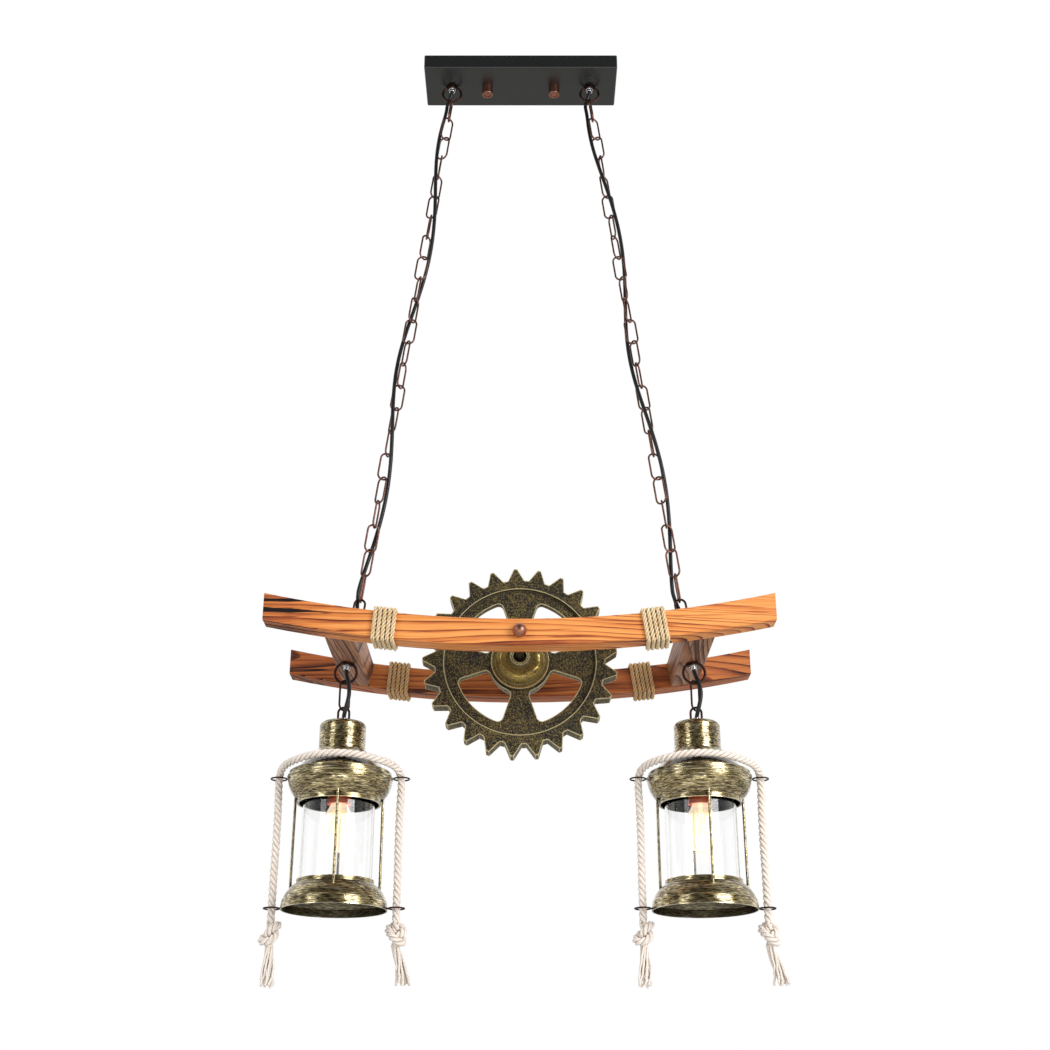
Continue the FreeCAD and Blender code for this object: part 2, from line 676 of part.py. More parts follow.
def rod_cap_nut(facing):
    """Ball nut seated flat on a beam's outer face."""
    radius, seat = BALL_D / 2, BALL_SEAT_D / 2
    sunk = math.sqrt(radius**2 - seat**2)
    ball = Part.makeSphere(radius, V(0, 0, sunk))
    ball = ball.common(Part.makeBox(2 * BALL_D, 2 * BALL_D, 2 * BALL_D, V(-BALL_D, -BALL_D, 0)))
    ball = ball.cut(cylinder(ROD_END_D + 2 * FIT, BALL_BORE, ORIGIN))
    face = rod_at + facing * (BEAM_SPACING + BEAM_DEPTH) / 2
    ball.Placement = FreeCAD.Placement(face, FreeCAD.Rotation(Z, facing))
    return ball


def gear_rod():
    """Rod through the beams, with thinner ends in the ball nuts."""
    reach = (BEAM_SPACING + BEAM_DEPTH) / 2 - FIT
    end = reach + BALL_BORE - FIT
    rod = cylinder(ROD_D, 2 * reach, rod_at - Y * reach, Y)
    return rod.fuse(cylinder(ROD_END_D, 2 * end, rod_at - Y * end, Y))


# Lantern pieces, turned about Z with the cap's top at z = 0.
def lantern_cap():
    outer, inner, top = CAP_D / 2, CAP_D / 2 - SHEET, CAP_D / 2 - CAP_ROUND
    hole = STEM_D / 2 + FIT
    bend = CAP_ROUND * math.sqrt(0.5)
    inner_bend = (CAP_ROUND - SHEET) * math.sqrt(0.5)
    profile = [(hole, 0), (top, 0), (outer, -CAP_ROUND), (outer, -CAP_H), (inner, -CAP_H),
               (inner, -CAP_ROUND), (top, -SHEET), (hole, -SHEET)]
    arcs = {1: (top + bend, bend - CAP_ROUND), 5: (top + inner_bend, inner_bend - CAP_ROUND)}
    return turned(profile, ORIGIN, arcs)


def guard_places():
    for quarter in range(4):
        angle = math.radians(90 * quarter + GUARD_TURN)
        yield GUARD_CIRCLE_D / 2 * math.cos(angle), GUARD_CIRCLE_D / 2 * math.sin(angle)


def eyelet_holes(drop, diameter):
    """A hole on each side for an eyelet's shank."""
    bar = cylinder(EYELET_WIRE + 2 * FIT, diameter, V(-diameter / 2, 0, -drop), X)
    middle = diameter - 4 * EYELET_SHANK
    return bar.cut(cylinder(EYELET_D, middle, V(-middle / 2, 0, -drop), X))


def drilled(body, low, high):
    for x, y in guard_places():
        body = body.cut(cylinder(GUARD_D + 2 * FIT, high - low, V(x, y, low)))
    return body


def lantern_hood():
    hole, seat = HOOD_TOP_HOLE_D / 2, HOOD_TOP_D / 2
    mouth, ridge = HOOD_MOUTH_D / 2, HOOD_RIDGE_D / 2
    shoulder, band, bowl = ridge - HOOD_SHOULDER_IN, ridge - HOOD_BAND_IN, ridge - HOOD_BOWL_IN
    bead_top = -HOOD_SHOULDER + HOOD_BEAD
    ridge_top, ridge_low = -HOOD_RIDGE + HOOD_RIDGE_H / 2, -HOOD_RIDGE - HOOD_RIDGE_H / 2
    lip_top = HOOD_LIP_H - HOOD_MOUTH
    bowl_mid = (ridge_low + lip_top) / 2
    profile = [
        (hole, -CAP_H), (seat, -CAP_H), (shoulder, -HOOD_SHOULDER), (shoulder + SHEET_EDGE, bead_top),
        (band - SHEET_EDGE, bead_top), (band, bead_top - SHEET_EDGE), (band, ridge_top),
        (ridge - SHEET_EDGE, ridge_top), (ridge, ridge_top - SHEET_EDGE), (ridge, ridge_low + SHEET_EDGE),
        (ridge - SHEET_EDGE, ridge_low), (mouth, lip_top), (mouth, -HOOD_MOUTH),
        (mouth - HOOD_LIP_THICK, -HOOD_MOUTH),
        (mouth - HOOD_LIP_THICK, lip_top), (mouth - SHEET, lip_top + SHEET),
        (band - SHEET, ridge_low + SHEET), (band - SHEET, bead_top - HOOD_BEAD - SHEET),
        (shoulder, -HOOD_SHOULDER - SHEET), (seat, -CAP_H - SHEET), (hole, -CAP_H - SHEET),
    ]
    arcs = {10: (bowl, bowl_mid), 15: (bowl - SHEET, bowl_mid + SHEET / 2)}
    hood = turned(profile, ORIGIN, arcs).cut(eyelet_holes(HOOD_RIDGE, HOOD_RIDGE_D))
    return drilled(hood, -HOOD_MOUTH, -HOOD_RIDGE)


def lantern_base():
    hole, collar, rim = BASE_HOLE_D / 2, BASE_TOP_D / 2, BASE_RIM_D / 2
    seam, bell = rim - BASE_SEAM_IN, rim - BASE_BELL_IN
    floor = -BASE_TOP - BASE_COLLAR_H
    bell_mid = (floor - BASE_SEAM) / 2 + BASE_BELL_RAISE
    bead_low = -BASE_SEAM - BASE_BEAD_H
    profile = [
        (hole, floor), (collar - SHEET, floor), (collar - SHEET, -BASE_TOP), (collar, -BASE_TOP),
        (collar, floor), (seam, -BASE_SEAM), (seam + BASE_BEAD, bead_low), (rim, BASE_RIM_H - BASE_RIM),
        (rim, -BASE_RIM), (rim - BASE_RIM_THICK, -BASE_RIM), (seam, bead_low - SHEET),
        (seam - SHEET, -BASE_SEAM), (collar - SHEET, floor - SHEET), (hole, floor - SHEET),
    ]
    arcs = {4: (bell, bell_mid), 11: (bell - SHEET, bell_mid - SHEET / 2)}
    base = turned(profile, ORIGIN, arcs).cut(eyelet_holes(LOWER_EYELET, BASE_RIM_D))
    return drilled(base, -BASE_SEAM, floor)


def lantern_glass():
    top = GLASS_TUCK - HOOD_MOUTH
    height = top + BASE_TOP + BASE_COLLAR_H
    at = V(0, 0, top - height)
    return cylinder(GLASS_D, height, at).cut(cylinder(GLASS_D - 2 * GLASS_WALL, height, at))


def guard_rods():
    low, high = -BASE_TOP - BASE_COLLAR_H - GUARD_PAST, GUARD_PAST + HOOD_LIP_H - HOOD_MOUTH
    return [cylinder(GUARD_D, high - low, V(x, y, low)) for x, y in guard_places()]


def eyelet(side, drop, wall_d):
    """A wire ring on a shank through the sheet, lying level beside it."""
    ring_r = (EYELET_D - EYELET_WIRE) / 2
    middle = wall_d / 2 + EYELET_D / 2
    ring = Part.makeTorus(ring_r, EYELET_WIRE / 2, V(side * middle, 0, -drop))
    inner = wall_d / 2 - EYELET_SHANK
    return ring.fuse(cylinder(EYELET_WIRE, middle - ring_r - inner, V(side * inner, 0, -drop), X * side))


def lampholder():
    radius, collar, bore = HOLDER_D / 2, HOLDER_COLLAR_D / 2, SCREW_CAP_D / 2 + 2 * FIT
    deep = SCREW_CAP_H - SCREW_CAP_END + GAP
    stem = STEM_D / 2 + FIT
    profile = [
        (stem, -HOLDER_TOP), (radius - HOLDER_SHOULDER, -HOLDER_TOP),
        (radius, -HOLDER_TOP - HOLDER_SHOULDER_H),
        (radius, HOLDER_COLLAR_H - HOLDER_END), (collar, HOLDER_COLLAR_H - HOLDER_END - HOLDER_EDGE),
        (collar, -HOLDER_END), (bore, -HOLDER_END), (bore, deep), (0, deep),
        (0, -HOLDER_TOP - HOLDER_SOCKET - GAP), (stem, -HOLDER_TOP - HOLDER_SOCKET - GAP),
    ]
    return turned(profile, ORIGIN)


def bulb_cap():
    radius, top = SCREW_CAP_D / 2, SCREW_CAP_H - SCREW_CAP_END
    contact = CONTACT_D / 2
    profile = [
        (0, -SCREW_CAP_END), (radius, -SCREW_CAP_END), (radius, top - SCREW_CAP_SLOPE),
        (contact + CONTACT_EDGE, top - CONTACT_H), (contact, top), (0, top),
    ]
    return turned(profile, ORIGIN)


def bulb_glass():
    wide, neck, wall = BULB_D / 2, BULB_NECK_D / 2, BULB_WALL
    dome, inner = BULB_END - wide, wide - wall
    profile = [
        (neck, -SCREW_CAP_END), (neck, -HOLDER_END), (wide, -BULB_SHOULDER), (wide, -dome),
        (0, -BULB_END), (0, wall - BULB_END), (inner, -dome), (inner, -BULB_SHOULDER),
        (neck - wall, -HOLDER_END), (neck - wall, -SCREW_CAP_END),
    ]
    slant = math.sqrt(0.5)
    arcs = {3: (wide * slant, -dome - wide * slant), 5: (inner * slant, -dome - inner * slant)}
    return turned(profile, ORIGIN, arcs)


def lantern_rope():
    """The rope with a knot and a frayed tail at each end, as one piece."""
    route = []
    for degrees, out, height in ROPE_HALF:
        around, reach = math.radians(degrees), HOOD_RIDGE_D / 2 + out
        route.append(V(-reach * math.cos(around), -reach * math.sin(around), height))
    route += [V(-p.x, p.y, p.z) for p in reversed(route[:-1])]
    body, _ = tube(route, ROPE_D, name="lantern rope")
    for end, tilt in zip((route[0], route[-1]), TAIL_LEAN):
        knot = Part.makeSphere(KNOT_D / 2)
        stretch = FreeCAD.Matrix()
        stretch.scale(1, 1, KNOT_H / KNOT_D)
        knot = knot.transformGeometry(stretch)
        knot.translate(end - Z * (KNOT_H / 2 - KNOT_GRIP))
        tail = Part.makeCone(TAIL_END_D / 2, TAIL_D / 2, TAIL_LENGTH, V(0, 0, -TAIL_LENGTH))
        tail.rotate(ORIGIN, Y, -tilt)
        tail.translate(end - Z * (KNOT_H - TAIL_TUCK))
        body = body.fuse(knot).fuse(tail)
    return body


# Canopy end
save("canopy_pan", canopy_pan())
save("mounting_bracket", mounting_bracket())
save("bracket_studs", *[bracket_stud(side) for _, side in SIDES])
save("finial_nuts", *[finial_nut(side) for _, side in SIDES])
canopy_loops, lock_nuts, canopy_bushes, leads = [], [], [], []
block_length, block_width, _ = TERMINAL_SIZE
block = Part.makeBox(*TERMINAL_SIZE, V(-block_length / 2, -block_width / 2, pan_face + PAN_SHEET))
for _, side in SIDES:
    seat = V(side * CANOPY_LOOP_X, 0, pan_face)
    loop = ring_loop(STEM_RISE)
    loop.translate(seat)
    canopy_loops.append(loop)
    lock_nuts.append(hexagon(LOCKNUT_AF, LOCKNUT_H, STEM_D + 2 * FIT, seat + Z * PAN_SHEET, Z))
    canopy_bushes.append(cord_bush(BUSH_H, seat - Z * LOOP_BOSS_H, -Z))
    route = [V(side * x, y, z) for x, y, z in LEAD_ROUTE]
    leads.append(tube(route, LEAD_D, name="canopy lead")[0])
save("canopy_loops", *canopy_loops)
save("loop_lock_nuts", *lock_nuts)
save("canopy_cord_bushes", *canopy_bushes)
save("terminal_block", block)
save("canopy_leads", *leads)

# Chains and their cords
left_links, right_links = hung_links(-1), hung_links(1)
save("hook_links", left_links[0], right_links[0])
save("left_chain", *left_links[1:-1])
save("left_end_link", left_links[-1])
save("right_chain", *right_links[1:])
for name, side in SIDES:
    save(f"{name}_chain_cord", tube(chain_cord_route(side), CORD_D, name=f"{name} chain cord")[0])

# Beam frame
save("front_beam", beam(-1))
save("rear_beam", beam(1))
save("left_crossbar", crossbar(-1))
save("right_crossbar", crossbar(1))
save("crossbar_dowels", *dowels())
save("front_wraps", *[jute_wrap(side, -1) for _, side in SIDES])
save("rear_wraps", *[jute_wrap(side, 1) for _, side in SIDES])
save("gear_wheel", gear_wheel())
save("hub_dome", hub_dome())
save("hub_drum", hub_drum())
save("gear_rod", gear_rod())
save("rod_cap_nuts", rod_cap_nut(-Y), rod_cap_nut(Y))
save("rod_clamp_nuts", *[
    hexagon(ROD_NUT_AF, ROD_NUT_H, ROD_D + 2 * FIT,
            rod_at + facing * (GEAR_WEB_THICK / 2 + height - NUT_POCKET), facing)
    for facing, height in ((-Y, DOME_H), (Y, DRUM_H))
])
tall_neck = [
    (0, 0), (EYE_FLANGE_D / 2, 0), (EYE_FLANGE_D / 2, EYE_FLANGE_H),
    (EYE_NECK_D / 2, EYE_FLANGE_H + EYE_TAPER), (EYE_NECK_D / 2, CROSSBAR_NECK_H - EYE_WIRE - EYE_TAPER),
    (EYE_CROWN_D / 2, CROSSBAR_NECK_H - EYE_WIRE), (EYE_CROWN_D / 2, CROSSBAR_NECK_H),
    (0, CROSSBAR_NECK_H),
]
eyes, rings, nipples, bushes = [], [], [], []
for _, side in SIDES:
    up = crossbar_normal(side)
    top = on_crossbar_frame(side, CROSSBAR_HEIGHT / 2)
    low = on_crossbar_frame(side, -CROSSBAR_HEIGHT / 2)
    tall_eye = eye(CROSSBAR_EYE_RISE, tall_neck, CROSSBAR_NECK_H, socket=NIPPLE_IN_EYE + FIT)
    tall_eye.Placement = top
    eyes.append(tall_eye)
    ring = ring_loop(0, socket=NIPPLE_IN_RING + FIT)
    ring.Placement = low
    rings.append(ring)
    length = CROSSBAR_HEIGHT + NIPPLE_IN_EYE + NIPPLE_IN_RING
    nipple = cylinder(STEM_D, length, ORIGIN).cut(cylinder(STEM_BORE, length, ORIGIN))
    nipple.Placement = on_crossbar_frame(side, -CROSSBAR_HEIGHT / 2 - NIPPLE_IN_RING)
    nipples.append(nipple)
    bushes.append(cord_bush(BUSH_H, top.Base + up * CROSSBAR_NECK_H, up))
    bushes.append(cord_bush(BUSH_H, low.Base - up * LOOP_BOSS_H, -up))
save("crossbar_eyes", *eyes)
save("crossbar_rings", *rings)
save("crossbar_nipples", *nipples)
save("crossbar_cord_bushes", *bushes)

# Lanterns
short_neck = [(0, 0), (EYE_CROWN_D / 2, 0), (EYE_CROWN_D / 2, EYE_CROWN_H), (0, EYE_CROWN_H)]
lantern_pieces = {
    "eye": [eye(CAP_TOP_DROP, short_neck, EYE_CROWN_H, stem=HOLDER_TOP + HOLDER_SOCKET)],
    "cord_bush": [cord_bush(LANTERN_BUSH_H, Z * EYE_CROWN_H, Z)],
    "cap": [lantern_cap()],
    "hood": [lantern_hood()],
    "glass": [lantern_glass()],
    "base": [lantern_base()],
    "guard_rods": guard_rods(),
    "eyelets": [eyelet(side, drop, wall) for _, side in SIDES
                for drop, wall in ((HOOD_RIDGE, HOOD_RIDGE_D), (LOWER_EYELET, BASE_RIM_D))],
    "lampholder": [lampholder()],
    "bulb_cap": [bulb_cap()],
    "bulb_glass": [bulb_glass()],
    "rope": [lantern_rope()],
}
for name, side in SIDES:
    at = V(side * lantern_x, 0, cap_top)
    for piece, solids in lantern_pieces.items():
        save(f"{name}_lantern_{piece}", *[solid.translated(at) for solid in solids])
    link_top = V(side * lantern_x, 0, lantern_link_top)
    save(f"{name}_lantern_link", placed_link(link_top, -Z, LANTERN_LINK_TURN))
    bush_out = on_crossbar_frame(side, -CROSSBAR_HEIGHT / 2 - LOOP_BOSS_H).Base
    route = [bush_out, bush_out - crossbar_normal(side) * CORD_STRAIGHT]
    route += [at + V(*p) for p in LANTERN_CORD]
    save(f"{name}_lantern_cord", tube(route, CORD_D, name=f"{name} lantern cord")[0])

print(f"chain link {link_wires + LINK_WIRE:.1f} long, pitch {link_pitch:.2f}")
print(f"crossbar eye at {eye_x:.1f}, {eye_z:.1f}")
print(f"lantern axis {lantern_x:.1f}, ring wire {lantern_ring_z:.1f}, cap top {cap_top:.1f}")
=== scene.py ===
import bpy
import math
from mathutils import Matrix, Vector


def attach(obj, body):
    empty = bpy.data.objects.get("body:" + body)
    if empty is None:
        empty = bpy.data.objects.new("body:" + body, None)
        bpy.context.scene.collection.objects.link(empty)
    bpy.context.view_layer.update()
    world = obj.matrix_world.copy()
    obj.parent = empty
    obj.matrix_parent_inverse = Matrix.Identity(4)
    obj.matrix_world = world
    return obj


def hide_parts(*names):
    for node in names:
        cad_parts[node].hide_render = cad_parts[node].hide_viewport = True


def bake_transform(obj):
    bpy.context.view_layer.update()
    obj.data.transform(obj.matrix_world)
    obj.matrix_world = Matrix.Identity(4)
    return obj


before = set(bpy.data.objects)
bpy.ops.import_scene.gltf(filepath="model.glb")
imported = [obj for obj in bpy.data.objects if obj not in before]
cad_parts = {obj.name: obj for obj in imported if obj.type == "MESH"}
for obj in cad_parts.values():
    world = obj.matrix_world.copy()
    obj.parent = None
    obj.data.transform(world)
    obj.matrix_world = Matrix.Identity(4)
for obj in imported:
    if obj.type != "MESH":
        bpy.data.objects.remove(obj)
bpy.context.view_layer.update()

# Studio: the light hangs in front of white, seen from below with a normal lens.
# A pale floor lies under it, and three soft boxes stand in front: right, left and low.
# Metal mirrors the white backdrop behind it and a darker room in front.
scene = bpy.context.scene
scene.view_settings.view_transform = "Standard"


def linear(hex_colour):
    """An sRGB hex colour as linear values, opaque."""
    parts = [int(hex_colour[i:i + 2], 16) / 255 for i in (1, 3, 5)]
    return tuple(c / 12.92 if c <= 0.04045 else ((c + 0.055) / 1.055) ** 2.4 for c in parts) + (1.0,)


def add(tree, kind, inputs=None, **settings):
    """Adds a node: settings are its properties, inputs are socket values or links by name or number."""
    made = tree.nodes.new(kind)
    for name, value in settings.items():
        setattr(made, name, value)
    for name, value in (inputs or {}).items():
        if isinstance(value, bpy.types.NodeSocket):
            tree.links.new(value, made.inputs[name])
        else:
            made.inputs[name].default_value = value
    return made


camera_data = bpy.data.cameras.new("camera")
camera_data.lens = 50.0
camera_data.sensor_width = 36.0
camera = bpy.data.objects.new("camera", camera_data)
CAMERA_AT = (0.0079, -2.189, -1.846)
CAMERA_PITCH = 23.0       # degrees up from level
camera.location = CAMERA_AT
camera.rotation_euler = (math.radians(90 + CAMERA_PITCH), 0, 0)
scene.collection.objects.link(camera)
scene.camera = camera

FLOOR_Z = -2.6
FLOOR_HALF = 30.0
floor_mesh = bpy.data.meshes.new("floor")
floor_mesh.from_pydata(
    [(x * FLOOR_HALF, y * FLOOR_HALF, FLOOR_Z) for x, y in ((-1, -1), (1, -1), (1, 1), (-1, 1))],
    [], [(0, 1, 2, 3)],
)
floor = bpy.data.objects.new("floor", floor_mesh)
scene.collection.objects.link(floor)
floor_paint = bpy.data.materials.new("pale_floor")
floor_paint.use_nodes = True
floor_shader = floor_paint.node_tree.nodes["Principled BSDF"].inputs
floor_shader["Base Color"].default_value = linear("#DEDCD8")
floor_shader["Roughness"].default_value = 0.9
floor_mesh.materials.append(floor_paint)

LIGHT_MIDDLE = Vector((0, 0, -1.15))
for name, place, watts, width, height in (
    ("soft_box_right", (1.9, -2.1, -0.7), 54.0, 1.3, 1.8),
    ("soft_box_left", (-2.1, -1.9, -0.6), 12.0, 0.9, 1.8),
    ("soft_box_low", (0.0, -2.6, -2.4), 9.0, 1.6, 0.8),
):
    lamp_data = bpy.data.lights.new(name, "AREA")
    lamp_data.shape = "RECTANGLE"
    lamp_data.size, lamp_data.size_y = width, height
    lamp_data.energy = watts
    lamp = bpy.data.objects.new(name, lamp_data)
    lamp.location = place
    lamp.rotation_euler = (LIGHT_MIDDLE - lamp.location).to_track_quat("-Z", "Y").to_euler()
    scene.collection.objects.link(lamp)

ROOM_LIGHT = 0.64     # what the room gives matt surfaces
FRONT_ROOM = 0.12     # what metal mirrors from the room in front
FRONT_END = -0.5      # the front room ends at this share of a direction along y
BACK_START = 0.3      # and the backdrop is full from this one
world = bpy.data.worlds.new("white_studio")
world.use_nodes = True
scene.world = world
tree = world.node_tree
tree.nodes.clear()
direction = add(tree, "ShaderNodeTexCoord").outputs["Generated"]
towards = add(tree, "ShaderNodeSeparateXYZ", {0: direction})
mirrored = add(tree, "ShaderNodeMapRange", {
    "Value": towards.outputs["Y"], "From Min": FRONT_END, "From Max": BACK_START,
    "To Min": FRONT_ROOM, "To Max": 1.0,
}, interpolation_type="SMOOTHSTEP").outputs["Result"]
ray = add(tree, "ShaderNodeLightPath").outputs
seen = add(tree, "ShaderNodeMath", {0: ray["Is Camera Ray"], 1: ray["Is Transmission Ray"]},
           operation="MAXIMUM").outputs[0]
gloss = add(tree, "ShaderNodeMix",
            {"Factor": ray["Is Glossy Ray"], "A": ROOM_LIGHT, "B": mirrored}).outputs[0]
level = add(tree, "ShaderNodeMix", {"Factor": seen, "A": gloss, "B": 1.0}).outputs[0]
backdrop = add(tree, "ShaderNodeBackground", {"Color": (1, 1, 1, 1), "Strength": level})
add(tree, "ShaderNodeOutputWorld", {"Surface": backdrop.outputs[0]})


# Canopy: a folded steel pan, powder coated satin black, held up to a zinc plated bracket
# by two studs with turned copper finial nuts. The pan closes over the terminal block.
COLOUR_A = 6          # the sockets of a colour Mix: its two colours and its result
COLOUR_B = 7
COLOUR_OUT = 2


def finish(name, **values):
    """A new principled material; values set its sockets."""
    made = bpy.data.materials.new(name)
    made.use_nodes = True
    shader = made.node_tree.nodes["Principled BSDF"]
    for socket, value in values.items():
        shader.inputs[socket.replace("_", " ")].default_value = value
    return made, made.node_tree, shader.inputs


def dress(material, *names):
    """Gives CAD nodes a material."""
    for name in names:
        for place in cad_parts[name].material_slots:
            place.material = material


def powder_coat():
    """Satin powder coat: a soft sheen with the fine orange peel of baked powder, about 0.8 mm."""
    peel_size = 0.0008
    cloud_size = 0.06
    made, tree, shader = finish("powder_coat", Roughness=0.36, Specular_IOR_Level=0.8)
    place = add(tree, "ShaderNodeTexCoord").outputs["Object"]
    peel = add(tree, "ShaderNodeTexNoise", {"Vector": place, "Scale": 1 / peel_size, "Detail": 2.0})
    cloud = add(tree, "ShaderNodeTexNoise", {"Vector": place, "Scale": 1 / cloud_size, "Detail": 3.0})
    colour = add(tree, "ShaderNodeMix", {
        "Factor": cloud.outputs["Fac"], COLOUR_A: linear("#0A0C0D"), COLOUR_B: linear("#121516"),
    }, data_type="RGBA").outputs[COLOUR_OUT]
    tree.links.new(colour, shader["Base Color"])
    bump = add(tree, "ShaderNodeBump",
               {"Height": peel.outputs["Fac"], "Strength": 0.25, "Distance": 0.0002})
    tree.links.new(bump.outputs[0], shader["Normal"])
    return made


def brushed_metal(name, pale, deep, roughness, grit=0.0009):
    """Turned or drawn metal: fine tool marks and a little tarnish that clouds the polish."""
    cloud_size = 0.012
    made, tree, shader = finish(name, Metallic=1.0)
    place = add(tree, "ShaderNodeTexCoord").outputs["Object"]
    marks = add(tree, "ShaderNodeTexNoise", {"Vector": place, "Scale": 1 / grit, "Detail": 3.0})
    cloud = add(tree, "ShaderNodeTexNoise", {"Vector": place, "Scale": 1 / cloud_size, "Detail": 4.0})
    colour = add(tree, "ShaderNodeMix", {
        "Factor": cloud.outputs["Fac"], COLOUR_A: linear(deep), COLOUR_B: linear(pale),
    }, data_type="RGBA").outputs[COLOUR_OUT]
    tree.links.new(colour, shader["Base Color"])
    dull = add(tree, "ShaderNodeMapRange", {
        "Value": marks.outputs["Fac"], "From Min": 0.3, "From Max": 0.7,
        "To Min": roughness - 0.08, "To Max": roughness + 0.12,
    })
    tree.links.new(dull.outputs["Result"], shader["Roughness"])
    bump = add(tree, "ShaderNodeBump",
               {"Height": marks.outputs["Fac"], "Strength": 0.15, "Distance": 0.0002})
    tree.links.new(bump.outputs[0], shader["Normal"])
    return made


BLACK_COAT = powder_coat()
ZINC = brushed_metal("zinc_plate", "#C4C6C8", "#A2A6A6", 0.34)
COPPER = brushed_metal("antique_copper", "#C08C78", "#7A4C3C", 0.32)
CHROME = brushed_metal("polished_chrome", "#E8EAEC", "#D2D5D8", 0.12)
# moulded nylon is a plain soft white
NYLON = finish("white_nylon", Roughness=0.5, Base_Color=linear("#DADAD4"))[0]
dress(BLACK_COAT, "canopy_pan")
dress(ZINC, "mounting_bracket", "bracket_studs", "loop_lock_nuts")
dress(COPPER, "finial_nuts")
dress(CHROME, "canopy_cord_bushes")
dress(NYLON, "terminal_block")

# Chains and cast loops: welded links of steel wire, plated with brown copper, in cast loops
# that were toned nearly black. The plating clouds from brown to dark along the wire.
CHAIN_COPPER = brushed_metal("brown_copper_plate", "#A07466", "#4A332C", 0.34, grit=0.0015)
DARK_COPPER = brushed_metal("dark_copper_casting", "#5A3E34", "#241916", 0.38, grit=0.0015)
dress(CHAIN_COPPER, "hook_links", "left_chain", "left_end_link", "right_chain")
dress(DARK_COPPER, "canopy_loops")


# Supply cords: black rubber-sheathed cord, 6.5 mm thick, that winds down each chain with its links
# from the bush in the canopy's loop to the bush in the crossbar's eye. Each is four stretches, parted
# where the chain hinges; on the right the end stretch goes with the chain and the lower one with the frame.
SIDES = (("left", -1), ("right", 1))
CORD_D = 0.0065
CORD_STRAIGHT = 0.012     # the cord runs straight this far out of a bush
CANOPY_LOOP_X = 0.128
BUSH_SEAT_Z = -0.033
CANOPY_WIRE_Z = -0.062
BEAM_ARC_R = 1.825
BEAM_Z = -1.152
CROSSBAR_X = 0.267
EYE_WIRE_UP = 0.087       # from the crossbar's middle to the centre of its eye's top wire
CHAIN_LINKS = 23
CHAIN_TWIST = 720         # degrees from the first link to the last; the cord winds with the links
LINK_PITCH = 43.3115      # from link to link, in millimetres as all of the route's sizes below
FIRST_MIDDLE = 19.606     # from the canopy loop's wire to the middle of the first link
CORD_REACH = 11.0         # from the chain's axis to the cord's
CORD_START = 225.0        # degrees round the chain at the first link
CHAIN_CORD_TOP = [(1, -9, -8.5)]          # along the chain, to the right and to the front
CHAIN_CORD_LOW = [(986, -6.5, -8.5)]
EYE_CORD = [(10, -4.5, -5.5), (26, 0, 0), (41, 0, 0)]     # down from the eye's wire, right and front
EYE_PART = 0.4            # share of the run at the eye where the last stretch begins


def rubber_sheath():
    """Black rubber cord: a dull sheen with faint rub marks about 3 mm long."""
    rub_size = 0.003
    made, tree, shader = finish("black_rubber_sheath", Base_Color=linear("#101012"))
    place = add(tree, "ShaderNodeTexCoord").outputs["Object"]
    rub = add(tree, "ShaderNodeTexNoise", {"Vector": place, "Scale": 1 / rub_size, "Detail": 4.0})
    dull = add(tree, "ShaderNodeMapRange", {
        "Value": rub.outputs["Fac"], "From Min": 0.3, "From Max": 0.7, "To Min": 0.3, "To Max": 0.5,
    })
    tree.links.new(dull.outputs["Result"], shader["Roughness"])
    return made


RUBBER = rubber_sheath()


def route_curve(name, points):
    """A smooth open curve with a route's points as its control points."""
    data = bpy.data.curves.new(name, "CURVE")
    data.dimensions = "3D"
    data.resolution_u = 12
    line = data.splines.new("NURBS")
    line.points.add(len(points) - 1)
    for spot, point in zip(line.points, points):
        spot.co = (*point, 1.0)
    line.order_u = 3
    line.use_endpoint_u = True
    made = bpy.data.objects.new(name, data)
    scene.collection.objects.link(made)
    return made


def plain_mesh(source, name):
    """The evaluated source as a plain mesh object of that name; the source goes."""
    seen_by = bpy.context.evaluated_depsgraph_get()
    mesh = bpy.data.meshes.new_from_object(source.evaluated_get(seen_by), depsgraph=seen_by)
    bpy.data.objects.remove(source)
    mesh.name = name
    made = bpy.data.objects.new(name, mesh)
    scene.collection.objects.link(made)
    return made


def route_line(points):
    """The points of a route's smooth curve."""
    line = plain_mesh(route_curve("line", points), "line")
    spots = [v.co.copy() for v in line.data.vertices]
    bpy.data.objects.remove(line)
    return spots


def round_cord(name, points, diameter, material):
    """A round cord along a route, and the line that it follows."""
    source = route_curve(name + "_route", points)
    source.data.bevel_depth = diameter / 2
    source.data.bevel_resolution = 4
    source.data.use_fill_caps = True
    made = plain_mesh(source, name)
    made.data.materials.clear()
    made.data.materials.append(material)
    made.data.shade_smooth()
    return made, route_line(points)


def on_beam_arc(x, along, out, up):
    """A place beside the beams' curve at x: along the curve, away from the viewer, and up from it."""
    lean = math.asin(x / BEAM_ARC_R)
    height = BEAM_Z + BEAM_ARC_R * (1 - math.cos(lean))
    return Vector((x + along * math.cos(lean) - up * math.sin(lean), out,
                   height + along * math.sin(lean) + up * math.cos(lean)))


